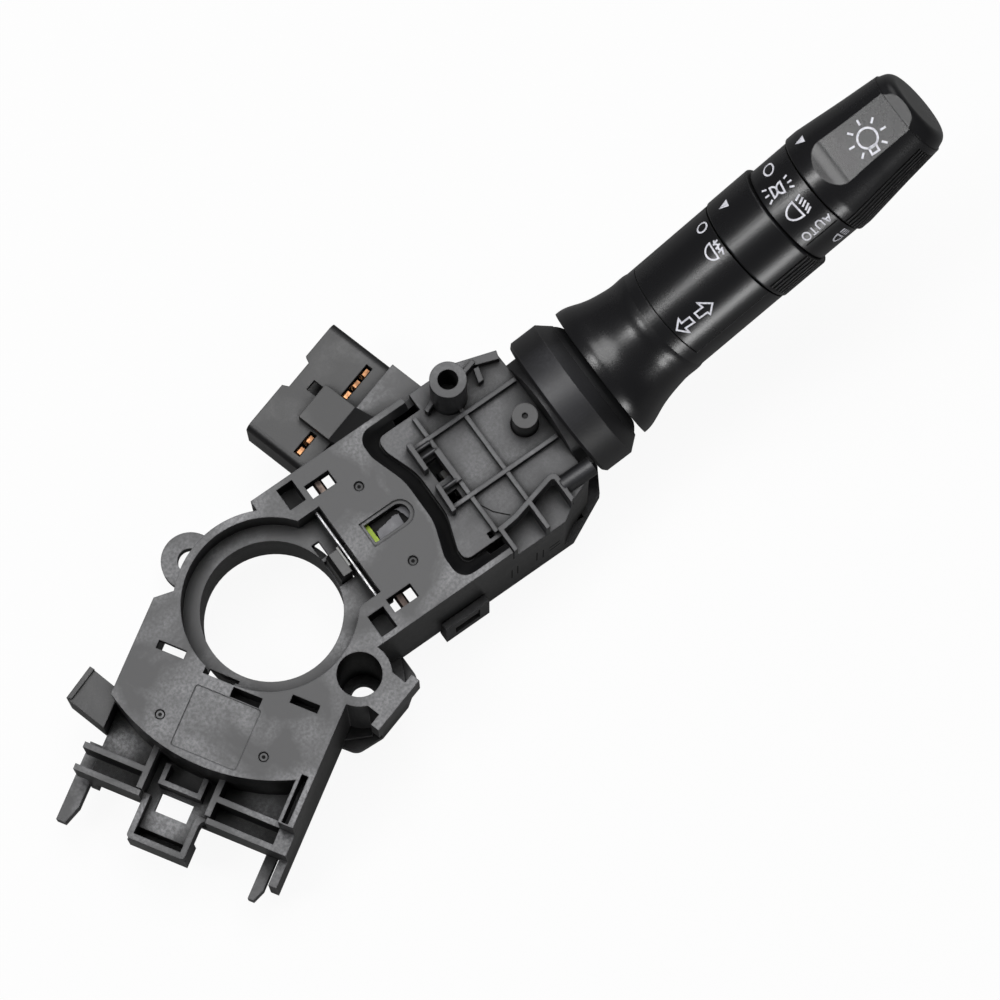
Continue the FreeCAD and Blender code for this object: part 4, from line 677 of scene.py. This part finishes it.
letter_t = [((86.8, -10.4), (85.4, -10.4)), ((86.1, -10.4), (86.1, -8.4))]
letter_o = oval((84.1, -9.4), 0.85, 1.05)
word_lines = [(path, False) for path in letter_a + letter_u + letter_t] + [(letter_o, True)]
laid_film("auto_word", lines(word_lines, width=0.36), "symbol_band", on_band, print_white, "lever")
high_beam = half_round((88.9, -15.2), (88.9, -17.8), depth=1.9)
beam_lines = [(high_beam, True)]
beam_lines += [(((89.6, -15.3 - step), (91.0, -15.3 - step)), False) for step in (0.0, 0.8, 1.6, 2.4)]
laid_film("beam_sign", lines(beam_lines, width=0.4), "symbol_band", on_band, print_white, "lever")

# Label panel: off ring, front fog lamp and the two turn arrows in outline.
fog_lamp = half_round((66.3, 3.8), (66.1, -0.3), depth=2.1)
fog_wave = [(67.5, 3.7), (67.2, 2.9), (67.8, 2.1), (67.3, 1.3), (67.9, 0.5), (67.5, -0.4)]
arrow_up = [(55.7, -4.9), (58.2, -7.2), (56.0, -8.9), (55.9, -8.1), (53.6, -7.9), (53.6, -6.3),
            (55.9, -6.4)]
arrow_down = [(47.9, -6.6), (50.0, -4.9), (49.8, -6.1), (52.1, -6.2), (52.1, -7.9), (49.7, -7.6),
              (49.6, -9.0)]
panel_lines = [(oval((66.6, 8.7), 1.3, 1.3), True), (fog_lamp, True), (fog_wave, False)]
panel_lines += [(((66.8, 2.8 - step), (68.3, 3.2 - step)), False) for step in (0.0, 1.1, 2.2)]
panel_lines += [(arrow_up, True), (arrow_down, True)]
laid_film("panel_signs", lines(panel_lines, width=0.42), "label_panel", on_barrel(radius=13.3), print_white,
          "lever")

# Pointers of the fog ring and of the knob: small filled triangles.
fog_pointer = filled_faces([(72.2, 9.6), (74.7, 8.2), (74.7, 10.7)])
laid_film("fog_pointer", fog_pointer, "fog_ring", on_barrel(radius=13.6), print_white, "fog_ring")
knob_pointer = filled_faces([(94.8, 9.9), (97.1, 8.6), (97.1, 11.2)])
laid_film("knob_pointer", knob_pointer, "light_knob", on_barrel(radius=13.1), print_white, "light_knob")

# Lamp sign on the knob's thumb facet: a round bulb, its socket and seven rays.
bulb_centre = (108.7, -0.7)
bulb_radius = 2.3
ray_inner = 3.3
ray_outer = 4.7
socket_turn = math.radians(-97.0)
socket_half = 0.9
socket_near = 2.1
socket_far = 3.7
bulb_lines = [(oval(bulb_centre, bulb_radius, bulb_radius, 28), True)]
for step in range(1, 8):
    turn = socket_turn + step * math.pi / 4.0
    way = (math.cos(turn), math.sin(turn))
    near = (bulb_centre[0] + ray_inner * way[0], bulb_centre[1] + ray_inner * way[1])
    far = (bulb_centre[0] + ray_outer * way[0], bulb_centre[1] + ray_outer * way[1])
    bulb_lines.append(((near, far), False))
socket_along = (math.cos(socket_turn), math.sin(socket_turn))
socket_corners = []
for reach, side in ((socket_near, -socket_half), (socket_far, -socket_half),
                    (socket_far, socket_half), (socket_near, socket_half)):
    socket_corners.append((bulb_centre[0] + reach * socket_along[0] - side * socket_along[1],
                           bulb_centre[1] + reach * socket_along[1] + side * socket_along[0]))
bulb_lines.append((socket_corners, True))
laid_film("lamp_sign", lines(bulb_lines, width=0.5), "light_knob", on_facet, print_white, "light_knob")


# Scored lines and tool marks. Dark hair lines where the mould is split: beside
# the last sign of the band, on the cover's slope and on the housing's long side.
score_thickness = 0.00003
above_part = 0.09
beside_housing = 60.0
straight_down = Vector((0.0, 0.0, -1.0))
score_black = bpy.data.materials.new("score_black")
score_black.use_nodes = True
score_tree = score_black.node_tree
score_shader = score_tree.nodes["Principled BSDF"]
score_shader.inputs["Roughness"].default_value = 0.6
score_shader.inputs["Specular IOR Level"].default_value = 0.1
score_place = score_tree.nodes.new("ShaderNodeTexCoord").outputs["Object"]
score_fluff = noise(score_tree, score_place, 900.0, detail=3.0).outputs["Fac"]
score_dust = window(score_tree, score_fluff, low=0.4, high=0.8)
score_colour = blend_colour(score_tree, score_dust, (0.002, 0.002, 0.002), (0.012, 0.012, 0.012))
score_tree.links.new(score_colour, score_shader.inputs["Base Color"])


def from_above(way_along, way_across):
    def spot(along, across):
        start = (way_along * along + way_across * across) * millimetre + Vector((0.0, 0.0, above_part))
        return start, straight_down
    return spot


def from_side(along, height):
    level = (housing_along * along - housing_across * beside_housing) * millimetre
    return level + Vector((0.0, 0.0, height * millimetre)), housing_across


on_lever_plate = from_above(housing_along, housing_across)
band_split = [(((82.5, -11.4), (91.6, -11.4)), False)]
laid_film("band_score", lines(band_split, width=0.3), "symbol_band", on_band, score_black, "lever",
          score_thickness)
cover_split = [(((52.2, -8.5), (53.7, -11.5), (56.4, -14.4)), False)]
laid_film("cover_score", lines(cover_split, width=0.25), "switch_cover", on_lever_plate, score_black,
          "switch_body", score_thickness)
side_marks = [((51.4, 4.5), (51.4, 12.5)), ((53.0, 5.5), (53.0, 13.0)), ((58.5, 5.0), (58.5, 12.5)),
              ((60.3, 3.5), (60.3, 11.0)), ((62.0, 8.6), (65.0, 8.9)), ((62.2, 5.6), (65.2, 5.9))]
side_lines = [(mark, False) for mark in side_marks]
laid_film("side_marks", lines(side_lines, width=0.25), "column_body", from_side, score_black,
          "switch_body", score_thickness)


# Ejector dots. Each round mark in the plate keeps the small cone that the pin's
# centre leaves; the ring round it is the edge of the pin.
wiper_turn = math.radians(16.0)
wiper_along = Vector((math.cos(wiper_turn), math.sin(wiper_turn), 0.0))
wiper_across = Vector((-math.sin(wiper_turn), math.cos(wiper_turn), 0.0))
on_wiper_plate = from_above(wiper_along, wiper_across)
pin_radius = 1.12
ring_inset = 0.1
pin_ring_radius = pin_radius - ring_inset
pin_dot_radius = 0.42
for side, spot, along, across in (
        ("wiper_upper", on_wiper_plate, -32.7, 12.8), ("wiper_lower", on_wiper_plate, -32.7, -12.5),
        ("lever_upper", on_lever_plate, 32.1, 10.8), ("lever_lower", on_lever_plate, 32.1, -10.5)):
    pin_ring = oval((along, across), pin_ring_radius, pin_ring_radius)
    pin_dot = filled_faces(oval((along, across), pin_dot_radius, pin_dot_radius, 12))
    laid_film("pin_mark_" + side, lines([(pin_ring, True)], width=0.22) + pin_dot, "column_body", spot,
              score_black, "switch_body", score_thickness)
